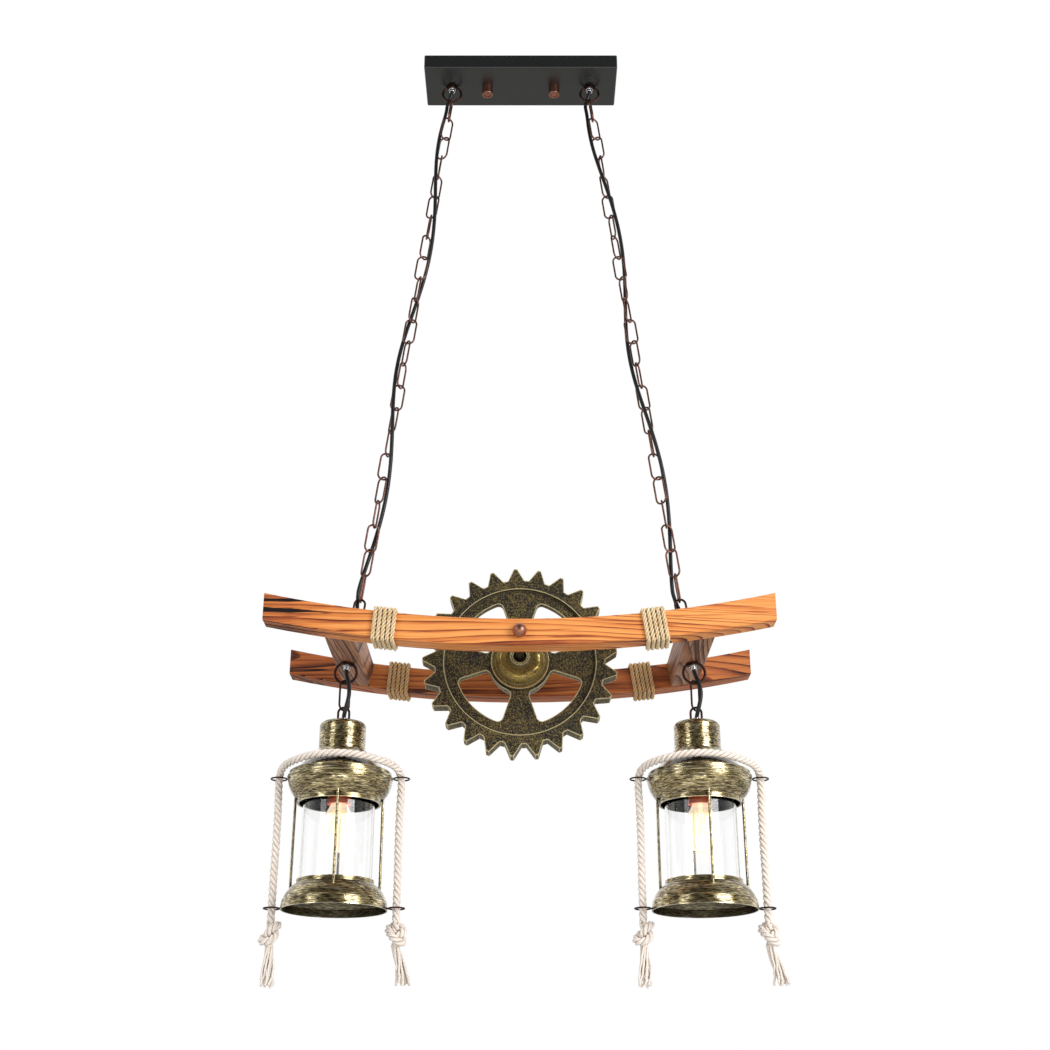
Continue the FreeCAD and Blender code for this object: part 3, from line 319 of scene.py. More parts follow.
def chain_cord_route(side):
    """The whole route in metres, from the canopy's bush to the crossbar's."""
    start = Vector((side * CANOPY_LOOP_X, 0, BUSH_SEAT_Z))
    route = [start, start - Vector((0, 0, CORD_STRAIGHT))]
    wire = Vector((side * CANOPY_LOOP_X, 0, CANOPY_WIRE_Z))
    run = (on_beam_arc(side * CROSSBAR_X, 0, 0, EYE_WIRE_UP) - wire).normalized()
    across = Vector((-run.z, 0, run.x))
    beside = list(CHAIN_CORD_TOP)
    for k in range(CHAIN_LINKS):
        turn = math.radians(CORD_START + k * CHAIN_TWIST / (CHAIN_LINKS - 1))
        along = FIRST_MIDDLE + k * LINK_PITCH
        beside.append((along, CORD_REACH * math.sin(turn), CORD_REACH * math.cos(turn)))
    for along, right, front in beside + CHAIN_CORD_LOW:
        route.append(wire + (run * along + across * right - Vector((0, front, 0))) / 1000)
    for low, right, front in EYE_CORD:
        route.append(on_beam_arc(side * CROSSBAR_X, right / 1000, -front / 1000, EYE_WIRE_UP - low / 1000))
    return route


def supply_cord(name, points):
    """One stretch of supply cord, which hangs from its first point to its last."""
    made, line = round_cord(name, points, CORD_D, RUBBER)
    return made


for name, side in SIDES:
    route = chain_cord_route(side)
    # the cord is parted below the hook link, above the last link and at the crossbar's eye
    hook = route[3].lerp(route[4], 0.5)
    last = route[-6].lerp(route[-5], 0.5)
    eye = route[-4].lerp(route[-3], EYE_PART)
    stretches = (
        ("upper", route[:4] + [hook]),
        ("middle", [hook] + route[4:-5] + [last]),
        ("end", [last] + route[-5:-3] + [eye]),
        ("lower", [eye] + route[-3:]),
    )
    for part, points in stretches:
        cord = supply_cord(f"{name}_chain_cord_{part}", points)
        if part == "upper":
            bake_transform(cord)
        elif part == "middle":
            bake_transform(cord)
            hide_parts(f"{name}_chain_cord")
        elif side > 0:
            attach(cord, "right_chain" if part == "end" else "frame")
        elif part == "end":
            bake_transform(cord)
        else:
            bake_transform(cord)
dress(RUBBER, "canopy_leads")


# Timber: two beams sawn to a shallow curve and two crossbars, pine that was scorched and brushed
# so that the late wood stands dark, then oiled. The left ends are burnt black in bands.
RING_PITCH = 0.006
BURN_PITCH = 0.0115                    # from band to band at the burnt ends
BURN_START = -0.27                     # the burn sets in here, along the beam
BURN_FULL = -0.34
GRAIN_SWAY = (2.4, 11.0, 11.0)         # per metre: bends about 400 mm long and 90 mm high
SWAY_REACH = 0.018
SCORCH_PATCHES = (7.0, 26.0, 26.0)     # about 140 by 38 mm
TORCH_STREAKS = (7.0, 300.0, 300.0)    # about 140 by 3 mm
FIBRES = (12.0, 700.0, 700.0)          # about 80 by 1.4 mm
DEEPEST_GRAIN = "#1E0C07"
CHAR = "#120907"


def pine(name, turn, heart, tilt, tones, left_burn=0.0):
    """Scorched pine: rings about 6 mm apart round a heart line near the piece, cut at a slant."""
    made, tree, shader = finish(name, Specular_IOR_Level=0.35)
    place = add(tree, "ShaderNodeTexCoord").outputs["Object"]
    along = add(tree, "ShaderNodeMapping", {"Vector": place, "Rotation": (0, 0, turn)}).outputs[0]
    # the log grew with slow bends
    drawn = add(tree, "ShaderNodeVectorMath", {0: along, 1: GRAIN_SWAY}, operation="MULTIPLY").outputs[0]
    sway = add(tree, "ShaderNodeTexNoise", {"Vector": drawn, "Scale": 1.0, "Detail": 2.0})
    offset = add(tree, "ShaderNodeVectorMath", {0: sway.outputs["Color"], 1: (0.5, 0.5, 0.5)},
                 operation="SUBTRACT").outputs[0]
    offset = add(tree, "ShaderNodeVectorMath", {0: offset, "Scale": SWAY_REACH},
                 operation="SCALE").outputs[0]
    bent = add(tree, "ShaderNodeVectorMath", {0: along, 1: offset}, operation="ADD").outputs[0]
    parts = add(tree, "ShaderNodeSeparateXYZ", {0: bent}).outputs
    run_y = add(tree, "ShaderNodeMath", {0: parts["X"], 1: tilt[0], 2: parts["Y"]},
                operation="MULTIPLY_ADD")
    run_z = add(tree, "ShaderNodeMath", {0: parts["X"], 1: tilt[1], 2: parts["Z"]},
                operation="MULTIPLY_ADD")
    log = add(tree, "ShaderNodeCombineXYZ", {1: run_y.outputs[0], 2: run_z.outputs[0]}).outputs[0]
    radius = add(tree, "ShaderNodeVectorMath", {0: log, 1: (0, heart[0], heart[1])}, operation="DISTANCE")
    radius = radius.outputs["Value"]
    ring = add(tree, "ShaderNodeMath", {0: radius, 1: 1 / RING_PITCH}, operation="MULTIPLY").outputs[0]
    season = add(tree, "ShaderNodeTexNoise", {"W": ring, "Scale": 0.8, "Detail": 1.0},
                 noise_dimensions="1D")
    ring = add(tree, "ShaderNodeMath", {0: season.outputs["Fac"], 1: 1.6, 2: ring},
               operation="MULTIPLY_ADD")
    year = add(tree, "ShaderNodeMath", {0: ring.outputs[0]}, operation="FRACT").outputs[0]
    # early wood fades slowly to late wood, which ends sharply
    late_wood = add(tree, "ShaderNodeValToRGB", {"Fac": year})
    stops = late_wood.color_ramp.elements
    stops[0].position, stops[0].color = 0.0, (0, 0, 0, 1)
    stops[1].position, stops[1].color = 1.0, (0.3, 0.3, 0.3, 1)
    for spot, level in ((0.42, 0.1), (0.78, 0.55), (0.9, 0.95), (0.96, 0.75)):
        stop = stops.new(spot)
        stop.color = (level, level, level, 1)
    # it is scorched in patches
    broad = add(tree, "ShaderNodeVectorMath", {0: along, 1: SCORCH_PATCHES},
                operation="MULTIPLY").outputs[0]
    patch = add(tree, "ShaderNodeTexNoise", {"Vector": broad, "Scale": 1.0, "Detail": 3.0}).outputs["Fac"]
    weight = add(tree, "ShaderNodeMapRange", {
        "Value": patch, "From Min": 0.35, "From Max": 0.65, "To Min": 0.35, "To Max": 1.0,
    }).outputs["Result"]
    dark = add(tree, "ShaderNodeMath", {0: late_wood.outputs["Color"], 1: weight},
               operation="MULTIPLY").outputs[0]
    # the torch leaves long dark streaks
    long_at = add(tree, "ShaderNodeVectorMath", {0: bent, 1: TORCH_STREAKS},
                  operation="MULTIPLY").outputs[0]
    streak = add(tree, "ShaderNodeTexNoise",
                 {"Vector": long_at, "Scale": 1.0, "Detail": 3.0}).outputs["Fac"]
    streak = add(tree, "ShaderNodeMapRange", {
        "Value": streak, "From Min": 0.54, "From Max": 0.78, "To Min": 0.0, "To Max": 0.65,
    }).outputs["Result"]
    dark = add(tree, "ShaderNodeMath", {0: dark, 1: streak}, operation="MAXIMUM").outputs[0]
    fine = add(tree, "ShaderNodeVectorMath", {0: bent, 1: FIBRES}, operation="MULTIPLY").outputs[0]
    fibre = add(tree, "ShaderNodeTexNoise", {"Vector": fine, "Scale": 1.0, "Detail": 2.0}).outputs["Fac"]
    grain = add(tree, "ShaderNodeMath", {0: fibre, 1: 0.5, 2: dark}, operation="MULTIPLY_ADD").outputs[0]
    grain = add(tree, "ShaderNodeMath", {0: grain, 1: 0.2}, operation="SUBTRACT", use_clamp=True).outputs[0]
    # at the left end the wood is browner, and broad bands of late wood are burnt black
    reach = add(tree, "ShaderNodeSeparateXYZ", {0: along}).outputs["X"]
    end = add(tree, "ShaderNodeMapRange", {
        "Value": reach, "From Min": BURN_START, "From Max": BURN_FULL, "To Min": 0.0, "To Max": left_burn,
    }).outputs["Result"]
    grain = add(tree, "ShaderNodeMath", {0: end, 1: 0.3, 2: grain},
                operation="MULTIPLY_ADD", use_clamp=True).outputs[0]
    tone = add(tree, "ShaderNodeValToRGB", {"Fac": grain})
    colours = tone.color_ramp.elements
    colours[0].position, colours[0].color = 0.0, linear(tones[0])
    colours[1].position, colours[1].color = 1.0, linear(DEEPEST_GRAIN)
    for spot, hex_colour in zip((0.28, 0.55, 0.8), tones[1:]):
        stop = colours.new(spot)
        stop.color = linear(hex_colour)
    band = add(tree, "ShaderNodeMath", {0: radius, 1: 1 / BURN_PITCH}, operation="MULTIPLY").outputs[0]
    band = add(tree, "ShaderNodeMath", {0: fibre, 1: 0.35, 2: band}, operation="MULTIPLY_ADD").outputs[0]
    middle = add(tree, "ShaderNodeMath", {0: band, 1: 0.5}, operation="PINGPONG").outputs[0]
    char = add(tree, "ShaderNodeMath", {0: end, 1: 0.21, 2: middle}, operation="MULTIPLY_ADD").outputs[0]
    char = add(tree, "ShaderNodeMapRange",
               {"Value": char, "From Min": 0.5, "From Max": 0.56}).outputs["Result"]
    colour = add(tree, "ShaderNodeMix",
                 {"Factor": char, COLOUR_A: tone.outputs["Color"], COLOUR_B: linear(CHAR)},
                 data_type="RGBA").outputs[COLOUR_OUT]
    tree.links.new(colour, shader["Base Color"])
    dull = add(tree, "ShaderNodeMapRange",
               {"Value": grain, "To Min": 0.42, "To Max": 0.66}).outputs["Result"]
    tree.links.new(dull, shader["Roughness"])
    bump = add(tree, "ShaderNodeBump", {"Height": grain, "Strength": 0.35, "Distance": 0.0006})
    tree.links.new(bump.outputs[0], shader["Normal"])
    return made


FRONT_PINE = pine("scorched_pine_front", 0.0, (-0.1, -1.2), (0.05, 0.09),
                  ("#F2A55A", "#DC8440", "#A04E24", "#5E2912"), left_burn=0.97)
# painted shade: the rear beam takes darker tones of the same pine, as it lies in shade
REAR_PINE_SHADED = pine("scorched_pine_rear", 0.0, (0.165, -1.125), (-0.05, 0.06),
                 ("#C8783A", "#AA5A28", "#713414", "#3E180B"), left_burn=0.5)
CROSS_PINE = pine("scorched_pine_crossbars", math.radians(90), (0.25, -1.20), (0.10, 0.04),
                  ("#B88560", "#8A583C", "#4E2C1C", "#1E1210"))
dress(FRONT_PINE, "front_beam")
dress(REAR_PINE_SHADED, "rear_beam")
dress(CROSS_PINE, "left_crossbar", "right_crossbar", "crossbar_dowels")

# Jute wraps: five turns of laid jute cord round each beam, pulled tight, with both ends tucked in
# on the beam's rear face. The cord is three strands of coarse tan yarn, painted browner on the rear
# beam as painted shade.
BEAM_SPACING = 0.27
BEAM_HEIGHT = 0.041
BEAM_DEPTH = 0.036
WRAP_X = 0.2
WRAP_TURNS = 5
JUTE_D = 0.0065
JUTE_FULL = 1.06          # the soft cord swells by this where nothing presses it
JUTE_LAY = 0.021
JUTE_PITCH = 0.0071
WRAP_CLEARANCE = 0.0004
WRAP_CORNER = 0.006       # the cord bends round a beam's edge within this distance
STRANDS = 3


def yarn(name, pale, deep, hollow_dust_and_shade, lay, threads, fuzz):
    """Spun yarn: fine threads that run along each strand at a slant, with hollows darkened by dust and
    painted shade.
    """
    fibre_size = 0.0016
    mottle_size = 0.014
    hollow_size = 0.003
    made, tree, shader = finish(name, Roughness=0.85, Sheen_Weight=fuzz, Specular_IOR_Level=0.2)
    place = add(tree, "ShaderNodeTexCoord").outputs["Object"]
    along = add(tree, "ShaderNodeAttribute", attribute_name="along").outputs["Fac"]
    around = add(tree, "ShaderNodeAttribute", attribute_name="around").outputs["Fac"]
    turns = add(tree, "ShaderNodeMath", {0: along, 1: 1 / lay}, operation="MULTIPLY").outputs[0]
    phase = add(tree, "ShaderNodeMath", {0: around, 1: float(threads), 2: turns},
                operation="MULTIPLY_ADD").outputs[0]
    wave = add(tree, "ShaderNodeMath", {0: phase, 1: 2 * math.pi}, operation="MULTIPLY").outputs[0]
    thread = add(tree, "ShaderNodeMath", {0: wave}, operation="SINE").outputs[0]
    stray = add(tree, "ShaderNodeTexNoise",
                {"Vector": place, "Scale": 1 / fibre_size, "Detail": 4.0}).outputs["Fac"]
    mottle = add(tree, "ShaderNodeTexNoise",
                 {"Vector": place, "Scale": 1 / mottle_size, "Detail": 2.0}).outputs["Fac"]
    height = add(tree, "ShaderNodeMath", {0: thread, 1: 0.22, 2: stray},
                 operation="MULTIPLY_ADD").outputs[0]
    blend = add(tree, "ShaderNodeMath", {0: mottle, 1: 0.6, 2: height}, operation="MULTIPLY_ADD").outputs[0]
    level = add(tree, "ShaderNodeMapRange",
                {"Value": blend, "From Min": 0.45, "From Max": 1.1}).outputs["Result"]
    colour = add(tree, "ShaderNodeMix", {"Factor": level, COLOUR_A: linear(deep), COLOUR_B: linear(pale)},
                 data_type="RGBA").outputs[COLOUR_OUT]
    # dust and painted shade sit between the strands: ambient occlusion darkens the hollows
    open_to = add(tree, "ShaderNodeAmbientOcclusion", {"Distance": hollow_size}, samples=6).outputs["AO"]
    yarn_unshaded = add(tree, "ShaderNodeMapRange",
                {"Value": open_to, "From Min": 0.25, "From Max": 0.75}).outputs["Result"]
    colour = add(tree, "ShaderNodeMix", {"Factor": yarn_unshaded, COLOUR_A: linear(hollow_dust_and_shade), COLOUR_B: colour},
                 data_type="RGBA").outputs[COLOUR_OUT]
    tree.links.new(colour, shader["Base Color"])
    bump = add(tree, "ShaderNodeBump", {"Height": height, "Strength": 0.6, "Distance": 0.0005})
    tree.links.new(bump.outputs[0], shader["Normal"])
    return made


def rope_tree(name, **kinds):
    """A tree that makes a rope of a line: its sizes are named inputs, and its finish is a material."""
    tree = bpy.data.node_groups.new(name, "GeometryNodeTree")
    sockets = tree.interface
    sockets.new_socket("Line", in_out="INPUT", socket_type="NodeSocketGeometry")
    for size, kind in kinds.items():
        sockets.new_socket(size.replace("_", " "), in_out="INPUT", socket_type="NodeSocket" + kind)
    sockets.new_socket("Finish", in_out="INPUT", socket_type="NodeSocketMaterial")
    sockets.new_socket("Rope", in_out="OUTPUT", socket_type="NodeSocketGeometry")
    return tree, add(tree, "NodeGroupInput").outputs


def round_strands(tree, size, lines, along, out, sides, radius):
    """Moves lines out to their places and makes them round strands, as what the tree gives.

    Each strand keeps how far along and around it a place is, for the pattern of its yarn.
    """
    marked = add(tree, "GeometryNodeStoreNamedAttribute",
                 {"Geometry": lines, "Name": "along", "Value": along})
    moved = add(tree, "GeometryNodeSetPosition", {"Geometry": marked.outputs[0], "Offset": out})
    ring = add(tree, "GeometryNodeCurvePrimitiveCircle", {"Resolution": sides, "Radius": radius})
    around = add(tree, "GeometryNodeSplineParameter").outputs["Factor"]
    ring = add(tree, "GeometryNodeStoreNamedAttribute",
               {"Geometry": ring.outputs[0], "Name": "around", "Value": around})
    body = add(tree, "GeometryNodeCurveToMesh",
               {"Curve": moved.outputs[0], "Profile Curve": ring.outputs[0], "Fill Caps": True})
    smooth = add(tree, "GeometryNodeSetShadeSmooth", {"Geometry": body.outputs[0]})
    real = add(tree, "GeometryNodeRealizeInstances", {"Geometry": smooth.outputs[0]})
    done = add(tree, "GeometryNodeSetMaterial", {"Geometry": real.outputs[0], "Material": size["Finish"]})
    add(tree, "NodeGroupOutput", {"Rope": done.outputs[0]})


def laid_rope_tree():
    """Strands laid round a line: each winds about it once per lay, and they touch."""
    tree, size = rope_tree("laid_rope", Strands="Int", Strand_radius="Float", Lay_radius="Float",
                           Lay="Float", Step="Float", Sides="Int")
    line = add(tree, "GeometryNodeResampleCurve", {"Curve": size["Line"], "Length": size["Step"]},
               mode="LENGTH")
    copies = add(tree, "GeometryNodeDuplicateElements",
                 {"Geometry": line.outputs[0], "Amount": size["Strands"]}, domain="SPLINE")
    along = add(tree, "GeometryNodeSplineParameter").outputs["Length"]
    share = add(tree, "ShaderNodeMath", {0: copies.outputs["Duplicate Index"], 1: size["Strands"]},
                operation="DIVIDE")
    turns = add(tree, "ShaderNodeMath", {0: along, 1: size["Lay"]}, operation="DIVIDE")
    turns = add(tree, "ShaderNodeMath", {0: turns.outputs[0], 1: share.outputs[0]}, operation="ADD")
    angle = add(tree, "ShaderNodeMath", {0: turns.outputs[0], 1: 2 * math.pi},
                operation="MULTIPLY").outputs[0]
    normal = add(tree, "GeometryNodeInputNormal").outputs[0]
    tangent = add(tree, "GeometryNodeInputTangent").outputs[0]
    side = add(tree, "ShaderNodeVectorMath", {0: tangent, 1: normal}, operation="CROSS_PRODUCT").outputs[0]
    cosine = add(tree, "ShaderNodeMath", {0: angle}, operation="COSINE").outputs[0]
    sine = add(tree, "ShaderNodeMath", {0: angle}, operation="SINE").outputs[0]
    first = add(tree, "ShaderNodeVectorMath", {0: normal, "Scale": cosine}, operation="SCALE").outputs[0]
    second = add(tree, "ShaderNodeVectorMath", {0: side, "Scale": sine}, operation="SCALE").outputs[0]
    out = add(tree, "ShaderNodeVectorMath", {0: first, 1: second}, operation="ADD").outputs[0]
    out = add(tree, "ShaderNodeVectorMath", {0: out, "Scale": size["Lay radius"]},
              operation="SCALE").outputs[0]
    round_strands(tree, size, copies.outputs["Geometry"], along, out, size["Sides"], size["Strand radius"])
    return tree


LAID_ROPE = laid_rope_tree()


def grown(source, tree, name, **sizes):
    """What a node tree makes of a source object, as a plain mesh."""
    modifier = source.modifiers.new("grow", "NODES")
    modifier.node_group = tree
    for socket in tree.interface.items_tree:
        if socket.in_out == "INPUT" and socket.name.replace(" ", "_") in sizes:
            modifier[socket.identifier] = sizes[socket.name.replace(" ", "_")]
    return plain_mesh(source, name)


def laid(name, points, diameter, lay, material, step, sides):
    """A laid rope of touching strands along a route."""
    strand = diameter / 2 / (1 + 1 / math.sin(math.pi / STRANDS))
    source = route_curve(name + "_route", points)
    return grown(source, LAID_ROPE, name, Strands=STRANDS, Strand_radius=strand,
                 Lay_radius=diameter / 2 - strand, Lay=lay, Step=step, Sides=sides, Finish=material)


def wrap_route(side, row):
    """One length of cord wound round the beam: three points at each corner keep the runs straight."""
    rear = BEAM_DEPTH / 2 + WRAP_CLEARANCE + JUTE_D / 2
    upper = BEAM_HEIGHT / 2 + WRAP_CLEARANCE + JUTE_D / 2
    corners = [(rear, upper), (-rear, upper), (-rear, -upper), (rear, -upper)]
    half = WRAP_TURNS * JUTE_PITCH / 2
    quarter = JUTE_PITCH / 4
    route = [Vector((-half, rear, 0))]
    for k in range(4 * WRAP_TURNS):
        here = Vector((-half + (k + 0.5) * quarter, *corners[k % 4]))
        before = Vector((here.x - quarter, *corners[(k - 1) % 4]))
        after = Vector((here.x + quarter, *corners[(k + 1) % 4]))
        route.append(here + (before - here).normalized() * WRAP_CORNER)
        route.append(here)
        route.append(here + (after - here).normalized() * WRAP_CORNER)
    route.append(Vector((half, rear, 0)))
    return [on_beam_arc(side * WRAP_X, x, row * BEAM_SPACING / 2 + out, up) for x, out, up in route]


JUTE = yarn("jute_cord", "#FBE6BE", "#CDA872", "#765834", lay=0.004, threads=3, fuzz=0.3)
# painted shade: the rear wraps take a browner, darker copy of the same jute
SHADED_JUTE = yarn("brown_jute_cord", "#EAC48E", "#B68650", "#5E3E1E", lay=0.004, threads=3, fuzz=0.3)
for row_name, row, cord in (("front", -1, JUTE), ("rear", 1, SHADED_JUTE)):
    halves = [
        laid(f"{row_name}_wrap_{name}", wrap_route(side, row), JUTE_D * JUTE_FULL, JUTE_LAY, cord,
             step=0.0011, sides=8)
        for name, side in SIDES
    ]
    for wrap in halves:
        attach(wrap, "frame")
    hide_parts(f"{row_name}_wraps")


# Gear wheel and hub: a cast wheel painted black and rubbed with bronze, so that the faces are
# finely speckled and every edge shines through under a painted highlight; the sides carry painted
# light and the hollows painted shade. A rod through both beams carries it, with ball nuts.
def wear_highlight_and_shade(tree, facing, edge_width, recess, hidden, clear):
    """How far each edge wears through, with a painted highlight, and how far a place stands clear of the
    painted shade in the hollows.
    """
    # painted highlight, together with real wear: edges that the bevel finds turn bright
    round_edge = add(tree, "ShaderNodeBevel", {"Radius": edge_width}, samples=6).outputs[0]
    same = add(tree, "ShaderNodeVectorMath", {0: round_edge, 1: facing},
               operation="DOT_PRODUCT").outputs["Value"]
    wear_and_highlight = add(tree, "ShaderNodeMapRange",
               {"Value": same, "From Min": 0.995, "From Max": 0.9}).outputs["Result"]
    # painted shade: ambient occlusion darkens the hollows and creases
    open_to = add(tree, "ShaderNodeAmbientOcclusion", {"Distance": recess}, samples=6).outputs["AO"]
    unshaded = add(tree, "ShaderNodeMapRange",
                {"Value": open_to, "From Min": hidden, "From Max": clear}).outputs["Result"]
    wear_and_highlight = add(tree, "ShaderNodeMath", {0: wear_and_highlight, 1: unshaded}, operation="MULTIPLY").outputs[0]
    return wear_and_highlight, unshaded


def rubbed_bronze(name, base, rub, edge, speck, cover, edge_width, recess, gloss):
    """Antique bronze rub: dark paint, speckled with bronze wax, bright where the edges wear through, with a
    painted highlight on them, painted light on the sides and painted shade in the hollows.
    """
    cloud_size = 0.03
    made, tree, shader = finish(name)
    place = add(tree, "ShaderNodeTexCoord").outputs["Object"]
    grain = add(tree, "ShaderNodeTexVoronoi", {"Vector": place, "Scale": 1 / speck}).outputs["Color"]
    grain = add(tree, "ShaderNodeSeparateXYZ", {0: grain}).outputs["X"]
    cloud = add(tree, "ShaderNodeTexNoise",
                {"Vector": place, "Scale": 1 / cloud_size, "Detail": 3.0}).outputs["Fac"]
    speckle = add(tree, "ShaderNodeMath", {0: cloud, 1: 0.6, 2: grain}, operation="MULTIPLY_ADD").outputs[0]
    # painted light: the sides between the faces take more of the bronze colour, for the light that falls on
    # them
    facing = add(tree, "ShaderNodeNewGeometry").outputs["Normal"]
    forward = add(tree, "ShaderNodeSeparateXYZ", {0: facing}).outputs["Y"]
    faces = add(tree, "ShaderNodeMath", {0: forward}, operation="ABSOLUTE").outputs[0]
    speckle = add(tree, "ShaderNodeMath", {0: faces, 1: -0.16, 2: speckle},
                  operation="MULTIPLY_ADD").outputs[0]
    wax_light_and_shade = add(tree, "ShaderNodeMapRange", {
        "Value": speckle, "From Min": 0.68 - 0.24 * cover, "From Max": 0.84 - 0.24 * cover,
    }, interpolation_type="SMOOTHSTEP").outputs["Result"]
    wear_and_highlight, unshaded = wear_highlight_and_shade(tree, facing, edge_width, recess, hidden=0.5, clear=0.9)
    wax_light_and_shade = add(tree, "ShaderNodeMath", {0: wax_light_and_shade, 1: unshaded}, operation="MULTIPLY").outputs[0]
    colour = add(tree, "ShaderNodeMix", {"Factor": wax_light_and_shade, COLOUR_A: linear(base), COLOUR_B: linear(rub)},
                 data_type="RGBA").outputs[COLOUR_OUT]
    # the edge colour is bronze showing through, with a painted highlight
    colour = add(tree, "ShaderNodeMix", {"Factor": wear_and_highlight, COLOUR_A: colour, COLOUR_B: linear(edge)},
                 data_type="RGBA").outputs[COLOUR_OUT]
    tree.links.new(colour, shader["Base Color"])
    metal = add(tree, "ShaderNodeMath", {0: wax_light_and_shade, 1: wear_and_highlight}, operation="MAXIMUM").outputs[0]
    metal = add(tree, "ShaderNodeMapRange",
                {"Value": metal, "To Min": 0.1, "To Max": 0.7}).outputs["Result"]
    tree.links.new(metal, shader["Metallic"])
    dull = add(tree, "ShaderNodeMapRange",
               {"Value": wax_light_and_shade, "To Min": gloss + 0.14, "To Max": gloss}).outputs["Result"]
    tree.links.new(dull, shader["Roughness"])
    bump = add(tree, "ShaderNodeBump", {"Height": grain, "Strength": 0.4, "Distance": 0.0005})
    tree.links.new(bump.outputs[0], shader["Normal"])
    return made


# each one's palest colour, for its edges, is wear with a painted highlight
GEAR_BRONZE = rubbed_bronze("rubbed_bronze_casting", "#0B0906", "#9A864E", "#F0E2AE",
                            speck=0.0009, cover=-0.7, edge_width=0.003, recess=0.006, gloss=0.4)
HUB_BRONZE = rubbed_bronze("rubbed_bronze_hub", "#120E06", "#A08848", "#FFF2C0",
                           speck=0.0012, cover=1.5, edge_width=0.004, recess=0.012, gloss=0.14)
BALL_BRONZE = brushed_metal("dark_bronze_ball", "#C48C76", "#8A5846", 0.36)
ROD_STEEL = brushed_metal("blackened_rod", "#55504A", "#2E2B28", 0.4)
dress(GEAR_BRONZE, "gear_wheel")
dress(HUB_BRONZE, "hub_dome")
dress(BLACK_COAT, "hub_drum")
dress(ROD_STEEL, "gear_rod", "rod_clamp_nuts")
dress(BALL_BRONZE, "rod_cap_nuts")

# Crossbar fittings: a tall cast eye above and a cast ring below each crossbar, toned dark copper,
# screwed on a hollow zinc plated nipple that the cord runs through, with a chrome bush at each end.
dress(DARK_COPPER, "crossbar_eyes", "crossbar_rings")
dress(ZINC, "crossbar_nipples")
dress(CHROME, "crossbar_cord_bushes")

# Lanterns: spun sheet metal painted black and wiped round with brass, so that short bright
# streaks run round each piece. A glass chimney stands between hood and base inside four rods,
# and a clear bulb hangs in it from a copper coloured lampholder.
LANTERN_X = 0.27234                       # from the middle of the light to a lantern's axis
CAP_TOP = -1.248982
WIPE_R = 0.07                             # the radius at which the streaks have their size
WIPE_STREAKS = (110.0, 920.0, 920.0)      # per metre: about 9 mm round the axis and 1 mm high
WIPE_CLOUDS = (40.0, 160.0, 160.0)        # about 25 by 6 mm
PAINTED_INSIDE_SHADE = "#14110A"


